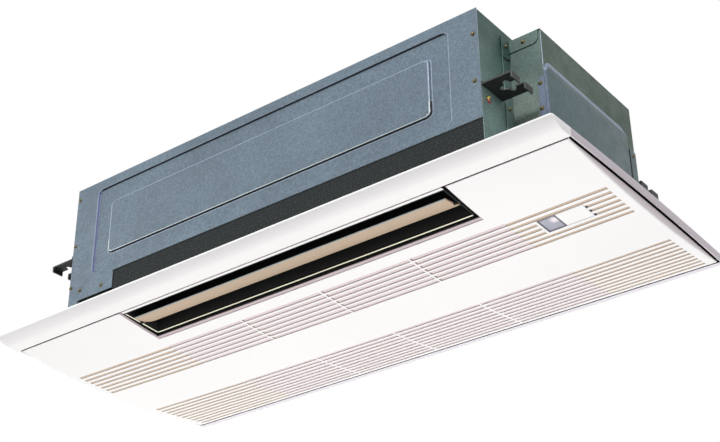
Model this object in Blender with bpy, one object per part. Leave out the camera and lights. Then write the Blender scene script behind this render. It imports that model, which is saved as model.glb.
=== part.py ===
"""Variable refrigerant flow indoor unit: a one-way ceiling cassette with its decoration panel.

X runs along the unit, Y from the outlet side to the back, Z up. The pieces are laid out
from the middle of the panel at the ceiling's underside. One empty carries them all and
puts the world's origin on the front right hanger bracket, where the unit hangs.
"""
import math

import bmesh
import bpy
import numpy as np

# Whole unit
GAP = 0.0003
CLEARANCE = 0.005
SHEET = 0.0012

# Casing
CASE_LEFT = -0.377
CASE_RIGHT = 0.383
CASE_FRONT = -0.203
CASE_BACK = 0.192
CASE_HEIGHT = 0.230
EMBOSS_DEPTH = 0.003
EMBOSS_SLOPE = 0.004
EMBOSS_RADIUS = 0.010
FIELD_SIDE = 0.047
FIELD_TOP = 0.016
FIELD_BOTTOM = 0.065
INNER_FIELD_INSET = 0.030
INNER_FIELD_RISE = 0.026
FRONT_WALL_FOOT = 0.058
FRONT_WALL_STEP = -0.282
FRONT_WALL_STEP_FOOT = 0.029
FRONT_WALL_LEG = 0.020
FOAM_THICKNESS = 0.011
PAN_HEIGHT = 0.045
PAN_WALL = 0.003
DECK_HEIGHT = 0.088
FAN_RADIUS = 0.034
FAN_LENGTH = 0.190
FAN_CENTRE_Y = 0.060
MOTOR_RADIUS = 0.028
MOTOR_LENGTH = 0.110
MOTOR_CENTRE_X = -0.005
FAN_ARC_POINTS = 17

# Electrical box on the right end
BOX_LENGTH = 0.051
BOX_FRONT = -0.128
BOX_BACK = 0.118
BOX_DROP = 0.0155
BOX_RIM = 0.012
LID_FLANGE = 0.019
LID_FLANGE_END = 0.004
LID_ARC_POINTS = 5
FLANGE_WIDTH = 0.018
COVER_HEIGHT = 0.161
COVER_BACK = 0.094
COVER_PROUD = 0.0045
COVER_SLOPE = 0.005
COVER_RADIUS = 0.016
COVER_TAB_HEIGHT = 0.139
COVER_TAB_WIDTH = 0.009
STRIP_HEIGHT = 0.140
STRIP_WIDTH = 0.020

# Hanger brackets
HANGER_HEIGHT = 0.107
HANGER_REACH = 0.046
HANGER_WIDTH = 0.051
HANGER_SHEET = 0.0023
HANGER_LEG = 0.006
HANGER_TAB = 0.0075
HANGER_HOLE_REACH = 0.027
HANGER_HOLE_RADIUS = 0.0105
HANGER_HOLE_LOBE = 0.0030
HANGER_HOLE_SIDES = 32
HANGER_SLOT_WIDTH = 0.012
HANGER_SEAT_REACH = 0.007

# Decoration panel
PANEL_LENGTH = 1.000
PANEL_DEPTH = 0.470
PANEL_BOW = 0.003
BOW_REACH = 0.050
PANEL_WEB = 0.003
RIM_WALL = 0.003
RIM_DEPTH = 0.011
FRONT_STRIP = 0.042
REAR_STRIP = 0.015
SEAM_DROP = 0.012
STRIP_LIP = 0.001
END_CROWN = 0.013
MIDDLE_CROWN = 0.005
FRONT_PROFILE = ((0.0, 0.005), (0.002, 0.008), (0.011, 0.0105))
REAR_PROFILE = ((0.0, 0.006), (0.004, 0.0105))
WEB_SPACING = 0.08

# Air outlet
OUTLET_LEFT = -0.269
OUTLET_RIGHT = 0.308
OUTLET_FRONT = -0.186
OUTLET_BACK = -0.114
OUTLET_WALL = 0.003
OUTLET_FRONT_DROP = 0.0125
OUTLET_BACK_DROP = 0.018
OUTLET_RISE = 0.095

# Air vane
VANE_RADIUS = 0.082
VANE_ANGLE = 30.0
VANE_FRONT_Y = -0.172
VANE_FRONT_Z = -0.0165
VANE_THICKNESS = 0.0022
VANE_ARC_POINTS = 11
PIN_RADIUS = 0.003

# Intake grille
GRILLE_SHEET = 0.0025
GRILLE_EDGE_TOP = -0.0095
HINGE_SWEEP = 0.001
HINGE_INSET = 0.002
HINGE_HEIGHT = -0.0109
HINGE_PIN_RADIUS = 0.0010
HINGE_PIN_END = 0.0005
HINGE_KNUCKLE_RADIUS = 0.0020
HINGE_KNUCKLE_WIDTH = 0.006
HINGE_LUG_WIDTH = 0.004
HINGE_NOTCH_ROOM = 0.001
HINGE_PLACES = (-0.330, 0.380)
HINGE_ARC_POINTS = 9
HINGE_SIDES = 12
SLOT_WIDTH = 0.0055
FIRST_BAND_Y = -0.077
FIRST_BAND_ROWS = 7
FIRST_BAND_PITCH = 0.0115
SECOND_BAND_Y = 0.0965
SECOND_BAND_ROWS = 10
SECOND_BAND_PITCH = 0.012
SLOT_ENDS_X = (-0.280, -0.131, 0.020, 0.176, 0.332)
SLOT_RIB = 0.006
GRID_LENGTH = 0.09
GRID_DEPTH = 0.025
PLATE_GRID_LENGTH = 0.02
PLATE_GRID_DEPTH = 0.011
INTAKE_LEFT = -0.290
INTAKE_RIGHT = 0.340
INTAKE_FRONT = -0.086
INTAKE_BACK = 0.176
PLATE_FRONT = -0.0605
PLATE_BACK = -0.0275
WINDOW_LEFT = 0.367
WINDOW_RIGHT = 0.394
PLATE_RIGHT = 0.435
FILTER_RISE = 0.0050
FILTER_SHEET = 0.0015
FILTER_FRAME = 0.005
FILTER_BACK_FRAME = 0.002
FILTER_SPLIT = 0.020

# Pipe ends on the left end wall
GAS_PIPE_RADIUS = 0.0064
LIQUID_PIPE_RADIUS = 0.0032
DRAIN_PIPE_RADIUS = 0.013
PIPE_LENGTH = 0.030
GAS_PIPE_PLACE = (0.060, 0.165)
LIQUID_PIPE_PLACE = (0.100, 0.165)
DRAIN_PIPE_PLACE = (0.020, 0.110)

WELD = 0.00001
BOX_HEIGHT = CASE_HEIGHT - BOX_DROP
HALF_LENGTH = PANEL_LENGTH / 2
HALF_DEPTH = PANEL_DEPTH / 2
SEAM_FRONT = -HALF_DEPTH + FRONT_STRIP
SEAM_BACK = HALF_DEPTH - REAR_STRIP
GRILLE_FRONT = SEAM_FRONT + CLEARANCE
GRILLE_BACK = SEAM_BACK - CLEARANCE - HINGE_SWEEP
GRILLE_END = HALF_LENGTH - RIM_WALL - CLEARANCE
HINGE_Y = GRILLE_BACK - HINGE_INSET
HINGE_LUG_START = HINGE_KNUCKLE_WIDTH / 2 + 2 * GAP
HINGE_LUG_END = HINGE_LUG_START + HINGE_LUG_WIDTH
HINGE_PIN_HALF = HINGE_LUG_END + HINGE_PIN_END
VANE_MIDDLE = math.radians(VANE_ANGLE / 2)
VANE_PIVOT_Y = VANE_FRONT_Y + VANE_RADIUS * math.sin(VANE_MIDDLE)
VANE_PIVOT_Z = VANE_FRONT_Z + VANE_RADIUS * (1 - math.cos(VANE_MIDDLE))
HANGER_FRONT_Y = CASE_FRONT + HANGER_WIDTH / 2
HANGER_BACK_Y = CASE_BACK - HANGER_WIDTH / 2


def material(name, colour, roughness, metallic=0.0):
    """A Principled BSDF of one colour."""
    made = bpy.data.materials.new(name)
    made.use_nodes = True
    shader = made.node_tree.nodes["Principled BSDF"]
    shader.inputs["Base Color"].default_value = (*colour, 1.0)
    shader.inputs["Roughness"].default_value = roughness
    shader.inputs["Metallic"].default_value = metallic
    return made


def zinc_sheet():
    return material("zinc_sheet", (0.30, 0.38, 0.37), 0.45, 0.8)


def blue_zinc_sheet():
    return material("blue_zinc_sheet", (0.28, 0.36, 0.43), 0.45, 0.8)


def black_steel():
    return material("black_steel", (0.03, 0.03, 0.035), 0.4, 0.5)


def dark_foam():
    return material("dark_foam", (0.06, 0.09, 0.09), 0.95)


def white_panel():
    return material("white_panel", (0.85, 0.84, 0.86), 0.4)


def cream_plastic():
    return material("cream_plastic", (0.62, 0.60, 0.48), 0.5)


def tan_vane():
    return material("tan_vane", (0.60, 0.48, 0.36), 0.5)


def filter_mesh():
    return material("filter_mesh", (0.62, 0.50, 0.52), 0.8)


def grey_window():
    return material("grey_window", (0.25, 0.26, 0.35), 0.25)


def dark_plastic():
    return material("dark_plastic", (0.05, 0.05, 0.055), 0.5)


def copper_tube():
    return material("copper_tube", (0.72, 0.38, 0.25), 0.3, 1.0)


def clear_scene():
    for old in list(bpy.data.objects):
        bpy.data.objects.remove(old, do_unlink=True)


def empty(name, place, parent=None):
    made = bpy.data.objects.new(name, None)
    made.empty_display_size = 0.03
    made.location = place
    made.parent = parent
    bpy.context.scene.collection.objects.link(made)
    return made


def finish_mesh(bm, name, finish, carrier, pivot=(0.0, 0.0, 0.0)):
    """Turns a bmesh laid out in the unit's frame into an object on its carrier."""
    bmesh.ops.translate(bm, verts=bm.verts, vec=[-value for value in pivot])
    bmesh.ops.recalc_face_normals(bm, faces=bm.faces)
    mesh = bpy.data.meshes.new(name)
    bm.to_mesh(mesh)
    bm.free()
    mesh.materials.append(finish)
    made = bpy.data.objects.new(name, mesh)
    made.parent = carrier
    bpy.context.scene.collection.objects.link(made)
    return made


def add_box(bm, low, high):
    """A closed box between two corners."""
    size = [b - a for a, b in zip(low, high)]
    middle = [(a + b) / 2 for a, b in zip(low, high)]
    made = bmesh.ops.create_cube(bm, size=1.0)
    bmesh.ops.scale(bm, verts=made["verts"], vec=size)
    bmesh.ops.translate(bm, verts=made["verts"], vec=middle)
    return made["verts"]


def add_prism(bm, outline, axis, start, end):
    """A flat outline in the plane across the axis, carried from start to end along it."""
    order = {"X": lambda a, b, c: (c, a, b), "Y": lambda a, b, c: (a, c, b), "Z": lambda a, b, c: (a, b, c)}
    place = order[axis]
    bottom = [bm.verts.new(place(a, b, start)) for a, b in outline]
    face = bm.faces.new(bottom)
    top = bmesh.ops.extrude_face_region(bm, geom=[face])
    moved = [item for item in top["geom"] if isinstance(item, bmesh.types.BMVert)]
    bmesh.ops.translate(bm, verts=moved, vec=place(0.0, 0.0, end - start))
    return bottom + moved


def circle(centre_a, centre_b, radius, sides=24):
    turns = np.arange(sides) * 2 * math.pi / sides
    return [(centre_a + radius * math.cos(t), centre_b + radius * math.sin(t)) for t in turns]


def box(name, low, high, finish, carrier):
    bm = bmesh.new()
    add_box(bm, low, high)
    return finish_mesh(bm, name, finish, carrier)


def prism(name, outline, axis, start, end, finish, carrier, pivot=(0.0, 0.0, 0.0)):
    bm = bmesh.new()
    add_prism(bm, outline, axis, start, end)
    return finish_mesh(bm, name, finish, carrier, pivot)


def tool_object(bm, name, carrier, pivot=(0.0, 0.0, 0.0)):
    """A shape that only cuts or joins another one, and is hidden itself."""
    made = finish_mesh(bm, name, dark_plastic(), carrier, pivot)
    made.hide_render = True
    made.display_type = "WIRE"
    return made


def combine(target, tool, operation):
    step = target.modifiers.new(tool.name, "BOOLEAN")
    step.operation = operation
    step.solver = "EXACT"
    step.object = tool


def rounded_rectangle(left, right, bottom, top, radius, steps=5):
    """Corner arcs of one radius, anticlockwise from the lower left."""
    corners = [
        (left + radius, bottom + radius, 180.0),
        (right - radius, bottom + radius, 270.0),
        (right - radius, top - radius, 0.0),
        (left + radius, top - radius, 90.0),
    ]
    points = []
    for centre_a, centre_b, start in corners:
        for angle in np.radians(np.linspace(start, start + 90.0, steps)):
            points.append((centre_a + radius * math.cos(angle), centre_b + radius * math.sin(angle)))
    return points


def loop_edges(bm, verts):
    pairs = zip(verts, verts[1:] + verts[:1])
    return [bm.edges.get(pair) or bm.edges.new(pair) for pair in pairs]


def embossed_sheet(name, size, margins, place, finish, carrier):
    """A sheet with a sunken field and a raised field inside it, joined by sloped steps.

    size is its length and height, margins are those of the field at its lower and upper edge,
    and place puts a point of the sheet and its depth into the unit.
    """
    length, height = size
    left, right = FIELD_SIDE, length - FIELD_SIDE
    bottom, top = margins[0], height - margins[1]
    outer = (left, right, bottom, top)
    inset = INNER_FIELD_INSET
    inner = (left + inset, right - inset, bottom + INNER_FIELD_RISE, top - inset)
    shrink = (EMBOSS_SLOPE, -EMBOSS_SLOPE, EMBOSS_SLOPE, -EMBOSS_SLOPE)
    outer_foot = [value + step for value, step in zip(outer, shrink)]
    inner_top = [value + step for value, step in zip(inner, shrink)]
    foot_radius = EMBOSS_RADIUS - EMBOSS_SLOPE / 2
    loops = [
        ([(0.0, 0.0), (length, 0.0), (length, height), (0.0, height)], 0.0),
        (rounded_rectangle(*outer, EMBOSS_RADIUS), 0.0),
        (rounded_rectangle(*outer_foot, foot_radius), EMBOSS_DEPTH),
        (rounded_rectangle(*inner, EMBOSS_RADIUS), EMBOSS_DEPTH),
        (rounded_rectangle(*inner_top, foot_radius), 0.0),
    ]
    bm = bmesh.new()
    rings = [[bm.verts.new(place(a, b, depth)) for a, b in outline] for outline, depth in loops]
    edges = [loop_edges(bm, ring) for ring in rings]
    bmesh.ops.triangle_fill(bm, use_beauty=True, edges=edges[0] + edges[1])
    bmesh.ops.triangle_fill(bm, use_beauty=True, edges=edges[2] + edges[3])
    for first, second in ((rings[1], rings[2]), (rings[3], rings[4])):
        for index, corner in enumerate(first):
            after = (index + 1) % len(first)
            bm.faces.new((corner, first[after], second[after], second[index]))
    middle = bm.faces.new(rings[4])
    bmesh.ops.recalc_face_normals(bm, faces=bm.faces)
    outward = np.array(place(0.0, 0.0, -1.0)) - np.array(place(0.0, 0.0, 0.0))
    if np.dot(middle.normal, outward) < 0:
        bmesh.ops.reverse_faces(bm, faces=bm.faces)
    mesh = bpy.data.meshes.new(name)
    bm.to_mesh(mesh)
    bm.free()
    mesh.materials.append(finish)
    made = bpy.data.objects.new(name, mesh)
    made.parent = carrier
    bpy.context.scene.collection.objects.link(made)
    wall = made.modifiers.new("sheet", "SOLIDIFY")
    wall.thickness = SHEET
    wall.offset = -1.0
    wall.use_even_offset = True
    return made


def front_wall(unit):
    """Embossed sheet, cut back over the foam strip and left standing on a leg at its left end."""
    def place(a, b, depth):
        return (CASE_LEFT + a, CASE_FRONT + depth, GAP + b)
    size = (CASE_RIGHT - CASE_LEFT, CASE_HEIGHT - GAP)
    wall = embossed_sheet("front_wall", size, (FIELD_BOTTOM, FIELD_TOP), place, blue_zinc_sheet(), unit)
    near = CASE_FRONT - SHEET
    far = CASE_FRONT + FOAM_THICKNESS
    bm = bmesh.new()
    outline = [
        (CASE_LEFT + FRONT_WALL_LEG, -SHEET),
        (CASE_RIGHT + SHEET, -SHEET),
        (CASE_RIGHT + SHEET, FRONT_WALL_FOOT),
        (FRONT_WALL_STEP, FRONT_WALL_FOOT),
        (FRONT_WALL_STEP, FRONT_WALL_STEP_FOOT),
        (CASE_LEFT + FRONT_WALL_LEG, FRONT_WALL_STEP_FOOT),
    ]
    add_prism(bm, outline, "Y", near, far)
    combine(wall, tool_object(bm, "front_wall_cut", unit), "DIFFERENCE")


def rear_wall(unit):
    def place(a, b, depth):
        return (CASE_LEFT + a, CASE_BACK - depth, GAP + b)
    size = (CASE_RIGHT - CASE_LEFT, CASE_HEIGHT - GAP)
    embossed_sheet("rear_wall", size, (FIELD_BOTTOM, FIELD_TOP), place, blue_zinc_sheet(), unit)


def top_cover(unit):
    """Embossed lid between the four walls."""
    inset = SHEET + GAP

    def place(a, b, depth):
        return (CASE_LEFT + inset + a, CASE_FRONT + inset + b, CASE_HEIGHT - depth)
    size = (CASE_RIGHT - CASE_LEFT - 2 * inset, CASE_BACK - CASE_FRONT - 2 * inset)
    embossed_sheet("top_cover", size, (FIELD_SIDE, FIELD_SIDE), place, zinc_sheet(), unit)


def end_walls(unit):
    inset = SHEET + GAP
    for name, low_x in (("left_end_wall", CASE_LEFT), ("right_end_wall", CASE_RIGHT - SHEET)):
        low = (low_x, CASE_FRONT + inset, GAP)
        high = (low_x + SHEET, CASE_BACK - inset, CASE_HEIGHT - inset)
        box(name, low, high, zinc_sheet(), unit)


def insulation(unit):
    """Foam linings against the front and back walls. The front one shows below its wall."""
    inset = SHEET + GAP
    front = CASE_FRONT + inset
    low = (FRONT_WALL_STEP - GAP, front, GAP)
    high = (CASE_RIGHT - inset, front + FOAM_THICKNESS, FIELD_BOTTOM - GAP)
    box("front_insulation", low, high, dark_foam(), unit)
    back = CASE_BACK - inset - EMBOSS_DEPTH
    low = (CASE_LEFT + inset, back - FOAM_THICKNESS, GAP)
    box("rear_insulation", low, (CASE_RIGHT - inset, back, DECK_HEIGHT - GAP), dark_foam(), unit)


def drain_pan(unit):
    """Moulded pan, open at the top, between the outlet duct and the intake."""
    inset = SHEET + GAP
    low = (CASE_LEFT + inset, OUTLET_BACK + CLEARANCE, GAP)
    high = (CASE_RIGHT - inset, INTAKE_FRONT - GAP, PAN_HEIGHT)
    made = box("drain_pan", low, high, dark_foam(), unit)
    wall = PAN_WALL
    bm = bmesh.new()
    space_high = (high[0] - wall, high[1] - wall, high[2] + wall)
    add_box(bm, [value + wall for value in low], space_high)
    combine(made, tool_object(bm, "pan_space", unit), "DIFFERENCE")


def fan_deck(unit):
    """Sheet over the intake with the fan housings and the motor under it."""
    inset = SHEET + GAP
    low = (CASE_LEFT + inset, OUTLET_BACK + CLEARANCE, DECK_HEIGHT)
    high = (CASE_RIGHT - inset, CASE_BACK - inset - EMBOSS_DEPTH, DECK_HEIGHT + SHEET)
    box("fan_deck", low, high, zinc_sheet(), unit)
    top = DECK_HEIGHT - GAP
    centre = top - FAN_RADIUS
    arc = np.radians(np.linspace(180.0, 360.0, FAN_ARC_POINTS))
    outline = [(FAN_CENTRE_Y + FAN_RADIUS * math.cos(t), centre + FAN_RADIUS * math.sin(t)) for t in arc]
    outline += [(FAN_CENTRE_Y + FAN_RADIUS, top), (FAN_CENTRE_Y - FAN_RADIUS, top)]
    left_end = MOTOR_CENTRE_X - MOTOR_LENGTH / 2
    right_end = MOTOR_CENTRE_X + MOTOR_LENGTH / 2
    starts = (("fan_housing_left", left_end - GAP - FAN_LENGTH), ("fan_housing_right", right_end + GAP))
    for name, start in starts:
        prism(name, outline, "X", start, start + FAN_LENGTH, dark_plastic(), unit)
    motor = circle(FAN_CENTRE_Y, top - MOTOR_RADIUS, MOTOR_RADIUS)
    prism("fan_motor", motor, "X", left_end, right_end, zinc_sheet(), unit)


def electrical_box(unit):
    """Box on the right end: body, lid with a front flange, back flange, end cover and strip."""
    left = CASE_RIGHT + GAP
    right = CASE_RIGHT + BOX_LENGTH
    box_body(unit, left, right)
    lid(unit, left, right)
    flange_low = (left, BOX_FRONT - GAP - FLANGE_WIDTH, GAP)
    flange_high = (left + SHEET, BOX_FRONT - GAP, BOX_HEIGHT)
    box("electrical_box_flange", flange_low, flange_high, zinc_sheet(), unit)
    end_cover(unit, right)
    strip_low = (right + GAP, BOX_BACK - STRIP_WIDTH, GAP)
    strip_high = (right + GAP + SHEET, BOX_BACK, STRIP_HEIGHT)
    box("electrical_box_strip", strip_low, strip_high, blue_zinc_sheet(), unit)


def box_body(unit, left, right):
    """Sheet housing whose end opening lies behind the end cover."""
    low = np.array((left, BOX_FRONT, GAP))
    high = np.array((right, BOX_BACK, BOX_HEIGHT - GAP))
    made = box("electrical_box", low, high, zinc_sheet(), unit)
    bm = bmesh.new()
    add_box(bm, low + SHEET, high - SHEET)
    combine(made, tool_object(bm, "box_space", unit), "DIFFERENCE")
    bm = bmesh.new()
    mouth_low = (right - 2 * SHEET, BOX_FRONT + BOX_RIM, GAP + BOX_RIM)
    add_box(bm, mouth_low, (right + SHEET, COVER_BACK - BOX_RIM, COVER_HEIGHT - BOX_RIM))
    combine(made, tool_object(bm, "box_mouth", unit), "DIFFERENCE")


def lid(unit, left, right):
    top = BOX_HEIGHT
    front = BOX_FRONT - GAP
    bm = bmesh.new()
    add_box(bm, (left, front - SHEET, top), (right, BOX_BACK, top + SHEET))
    made = finish_mesh(bm, "electrical_box_lid", zinc_sheet(), unit)
    low = top - LID_FLANGE
    radius = LID_FLANGE / 2
    arc = np.radians(np.linspace(270.0, 360.0, LID_ARC_POINTS))
    end = right - LID_FLANGE_END
    start = left + SHEET + GAP
    outline = [(start, top + SHEET / 2), (start, low)]
    outline += [(end - radius + radius * math.cos(t), low + radius + radius * math.sin(t)) for t in arc]
    outline += [(end, top + SHEET / 2)]
    bm = bmesh.new()
    add_prism(bm, outline, "Y", front - SHEET, front)
    combine(made, tool_object(bm, "lid_flange", unit), "UNION")


def arched_outline(front, back, top, radius):
    """A rectangle from the foot up with its two upper corners rounded."""
    points = rounded_rectangle(front, back, GAP, top, radius)
    return [(front, GAP), (back, GAP)] + points[len(points) // 2:]


def end_cover(unit, right):
    """Proud cover with rounded upper corners and sloped edges, and a tab round the front corner."""
    inner = right + GAP
    front = BOX_FRONT - GAP - SHEET
    base = arched_outline(front, COVER_BACK, COVER_HEIGHT, COVER_RADIUS)
    slope = COVER_SLOPE
    face = arched_outline(front + slope, COVER_BACK - slope, COVER_HEIGHT - slope, COVER_RADIUS - slope)
    bm = bmesh.new()
    low = [bm.verts.new((inner, a, b)) for a, b in base]
    middle = [bm.verts.new((inner + SHEET, a, b)) for a, b in base]
    high = [bm.verts.new((inner + COVER_PROUD, a, b)) for a, b in face]
    bm.faces.new(low)
    bm.faces.new(high)
    for first, second in ((low, middle), (middle, high)):
        for index in range(len(first)):
            after = (index + 1) % len(first)
            bm.faces.new((first[index], first[after], second[after], second[index]))
    made = finish_mesh(bm, "electrical_box_cover", blue_zinc_sheet(), unit)
    bm = bmesh.new()
    tab_low = (right - COVER_TAB_WIDTH, front, GAP)
    tab_high = (inner + SHEET / 2, BOX_FRONT - GAP, COVER_TAB_HEIGHT)
    add_box(bm, tab_low, tab_high)
    combine(made, tool_object(bm, "cover_tab", unit), "UNION")


def hanger(unit, name, wall_x, side, middle_y):
    """Bent plate on an end wall: leg up, plate out, two tabs down beside a four-lobed slot."""
    sheet = HANGER_SHEET
    reach = HANGER_REACH
    level = HANGER_HEIGHT
    section = [
        (GAP, level),
        (reach - sheet, level),
        (reach - sheet, level - HANGER_TAB),
        (reach, level - HANGER_TAB),
        (reach, level + sheet),
        (GAP + sheet, level + sheet),
        (GAP + sheet, level + HANGER_LEG),
        (GAP, level + HANGER_LEG),
    ]
    outline = [(wall_x + side * a, b) for a, b in section]
    bm = bmesh.new()
    add_prism(bm, outline, "Y", middle_y - HANGER_WIDTH / 2, middle_y + HANGER_WIDTH / 2)
    made = finish_mesh(bm, name, black_steel(), unit)
    hole_x = wall_x + side * HANGER_HOLE_REACH
    turns = np.arange(HANGER_HOLE_SIDES) * 2 * math.pi / HANGER_HOLE_SIDES
    lobes = []
    for turn in turns:
        radius = HANGER_HOLE_RADIUS + HANGER_HOLE_LOBE * math.cos(4 * turn)
        lobes.append((hole_x + radius * math.cos(turn), middle_y + radius * math.sin(turn)))
    bm = bmesh.new()
    add_prism(bm, lobes, "Z", level - HANGER_TAB, level + 2 * sheet)
    combine(made, tool_object(bm, name + "_hole", unit), "DIFFERENCE")
    bm = bmesh.new()
    ends = sorted((hole_x, wall_x + side * (reach + sheet)))
    half = HANGER_SLOT_WIDTH / 2
    slot_low = (ends[0], middle_y - half, level - 2 * HANGER_TAB)
    add_box(bm, slot_low, (ends[1], middle_y + half, level + 2 * sheet))
    combine(made, tool_object(bm, name + "_slot", unit), "DIFFERENCE")


def hangers(unit):
    for side_name, wall_x, side in (("left", CASE_LEFT, -1), ("right", CASE_RIGHT, 1)):
        for end_name, middle_y in (("front", HANGER_FRONT_Y), ("rear", HANGER_BACK_Y)):
            hanger(unit, "hanger_" + end_name + "_" + side_name, wall_x, side, middle_y)


def outlet_duct(unit):
    """Open box with a lip that slopes down to the back, and a bore in each end for the vane."""
    bm = bmesh.new()
    top = OUTLET_RISE
    verts = add_box(bm, (OUTLET_LEFT, OUTLET_FRONT, -OUTLET_BACK_DROP), (OUTLET_RIGHT, OUTLET_BACK, top))
    for vert in verts:
        if vert.co.z < 0 and vert.co.y < (OUTLET_FRONT + OUTLET_BACK) / 2:
            vert.co.z = -OUTLET_FRONT_DROP
    made = finish_mesh(bm, "outlet_duct", cream_plastic(), unit)
    wall = OUTLET_WALL
    bm = bmesh.new()
    low = (OUTLET_LEFT + wall, OUTLET_FRONT + wall, -2 * OUTLET_BACK_DROP)
    high = (OUTLET_RIGHT - wall, OUTLET_BACK - wall, top - wall)
    add_box(bm, low, high)
    combine(made, tool_object(bm, "outlet_space", unit), "DIFFERENCE")
    bm = bmesh.new()
    bore = circle(VANE_PIVOT_Y, VANE_PIVOT_Z, PIN_RADIUS + GAP)
    add_prism(bm, bore, "X", OUTLET_LEFT - wall, OUTLET_RIGHT + wall)
    combine(made, tool_object(bm, "vane_bores", unit), "DIFFERENCE")


def air_vane(unit):
    """Blade with an arc for its section, on a pin at each end that turns in the duct."""
    pivot = (0.0, VANE_PIVOT_Y, VANE_PIVOT_Z)
    axis = empty("vane_axis", pivot, unit)
    angles = np.radians(np.linspace(0.0, VANE_ANGLE, VANE_ARC_POINTS))
    centre_z = VANE_FRONT_Z + VANE_RADIUS
    half = VANE_THICKNESS / 2
    arcs = []
    for radius in (VANE_RADIUS + half, VANE_RADIUS - half):
        arcs.append([(VANE_FRONT_Y + radius * math.sin(t), centre_z - radius * math.cos(t)) for t in angles])
    left = OUTLET_LEFT + OUTLET_WALL + CLEARANCE
    right = OUTLET_RIGHT - OUTLET_WALL - CLEARANCE
    made = prism("air_vane", arcs[0] + arcs[1][::-1], "X", left, right, tan_vane(), axis, pivot)
    bm = bmesh.new()
    pin = circle(VANE_PIVOT_Y, VANE_PIVOT_Z, PIN_RADIUS)
    add_prism(bm, pin, "X", OUTLET_LEFT + GAP, left + CLEARANCE)
    add_prism(bm, pin, "X", right - CLEARANCE, OUTLET_RIGHT - GAP)
    combine(made, tool_object(bm, "vane_pins", axis, pivot), "UNION")


def bowed(x, y):
    """The panel's ends stand out most at half depth and fall back towards the corners."""
    share = max(0.0, (abs(x) - HALF_LENGTH + BOW_REACH) / BOW_REACH)
    return x - math.copysign(share * PANEL_BOW * (y / HALF_DEPTH) ** 2, x)


def crown(x, y):
    """Height of the grille's outer face: an arc over the depth that is fuller at half length."""
    middle = (SEAM_FRONT + SEAM_BACK) / 2
    across = (y - middle) / ((SEAM_BACK - SEAM_FRONT) / 2)
    along = x / HALF_LENGTH
    swell = END_CROWN + MIDDLE_CROWN * (1 - along ** 2)
    return -SEAM_DROP - swell * max(0.0, 1 - across ** 2)


def rim_profile(y):
    """Underside of the front and rear strips: a lip, a cove and a nearly flat face."""
    points = [(-HALF_DEPTH + inset, -drop) for inset, drop in FRONT_PROFILE]
    points += [(SEAM_FRONT, -SEAM_DROP - STRIP_LIP), (SEAM_BACK, -SEAM_DROP)]
    points += [(HALF_DEPTH - inset, -drop) for inset, drop in reversed(REAR_PROFILE)]
    return float(np.interp(y, *zip(*points)))


def stepped_solid(name, xs, ys, low_of, high_of, place, finish, carrier, pivot=(0.0, 0.0, 0.0)):
    """Solid over a plan grid. low_of and high_of give a cell's heights at a point, or None for no cell.

    Where the undersides of two neighbours differ, a wall joins them.
    """
    cells = {}
    for i in range(len(xs) - 1):
        for j in range(len(ys) - 1):
            cell_middle = ((xs[i] + xs[i + 1]) / 2, (ys[j] + ys[j + 1]) / 2)
            corners = [(i, j), (i + 1, j), (i + 1, j + 1), (i, j + 1)]
            lows = [low_of(xs[a], ys[b], *cell_middle) for a, b in corners]
            if lows[0] is not None:
                cells[i, j] = dict(zip(corners, lows))
    bm = bmesh.new()
    made = {}
    levels = {}

    def vert(corner, height):
        key = (*corner, round(height / WELD))
        if key not in made:
            x, y = xs[corner[0]], ys[corner[1]]
            made[key] = bm.verts.new(place(x, y, height))
        return made[key]

    for lows in cells.values():
        for corner, height in lows.items():
            point_levels = levels.setdefault(corner, set())
            point_levels.add(height)
            point_levels.add(high_of(xs[corner[0]], ys[corner[1]]))
    for lows in cells.values():
        corners = list(lows)
        bm.faces.new([vert(corner, lows[corner]) for corner in corners])
        bm.faces.new([vert(corner, high_of(xs[corner[0]], ys[corner[1]])) for corner in corners])
    for (i, j), lows in cells.items():
        sides = (((i, j), (i + 1, j), (i, j - 1)), ((i, j), (i, j + 1), (i - 1, j)),
                 ((i, j + 1), (i + 1, j + 1), (i, j + 1)), ((i + 1, j), (i + 1, j + 1), (i + 1, j)))
        for index, (first, second, other) in enumerate(sides):
            if other in cells and index > 1:
                continue
            wall = []
            for corner in (first, second):
                if other in cells:
                    bounds = sorted((lows[corner], cells[other][corner]))
                else:
                    bounds = [lows[corner], high_of(xs[corner[0]], ys[corner[1]])]
                chosen = sorted(h for h in levels[corner] if bounds[0] - WELD <= h <= bounds[1] + WELD)
                row = []
                for height in chosen:
                    here = vert(corner, height)
                    if here not in row:
                        row.append(here)
                wall.append(row)
            polygon = wall[0] + wall[1][::-1]
            if len(polygon) > 2:
                bm.faces.new(polygon)
    return finish_mesh(bm, name, finish, carrier, pivot)


def with_divisions(lines, spacing):
    """The given grid lines, with evenly spaced ones between any two that lie far apart."""
    lines = sorted(lines)
    points = [lines[0]]
    for start, end in zip(lines, lines[1:]):
        count = max(1, math.ceil((end - start) / spacing - 0.01))
        points += [start + (end - start) * (step + 1) / count for step in range(count)]
    return points


def panel_place(x, y, z):
    return (bowed(x, y), y, z)


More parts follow.
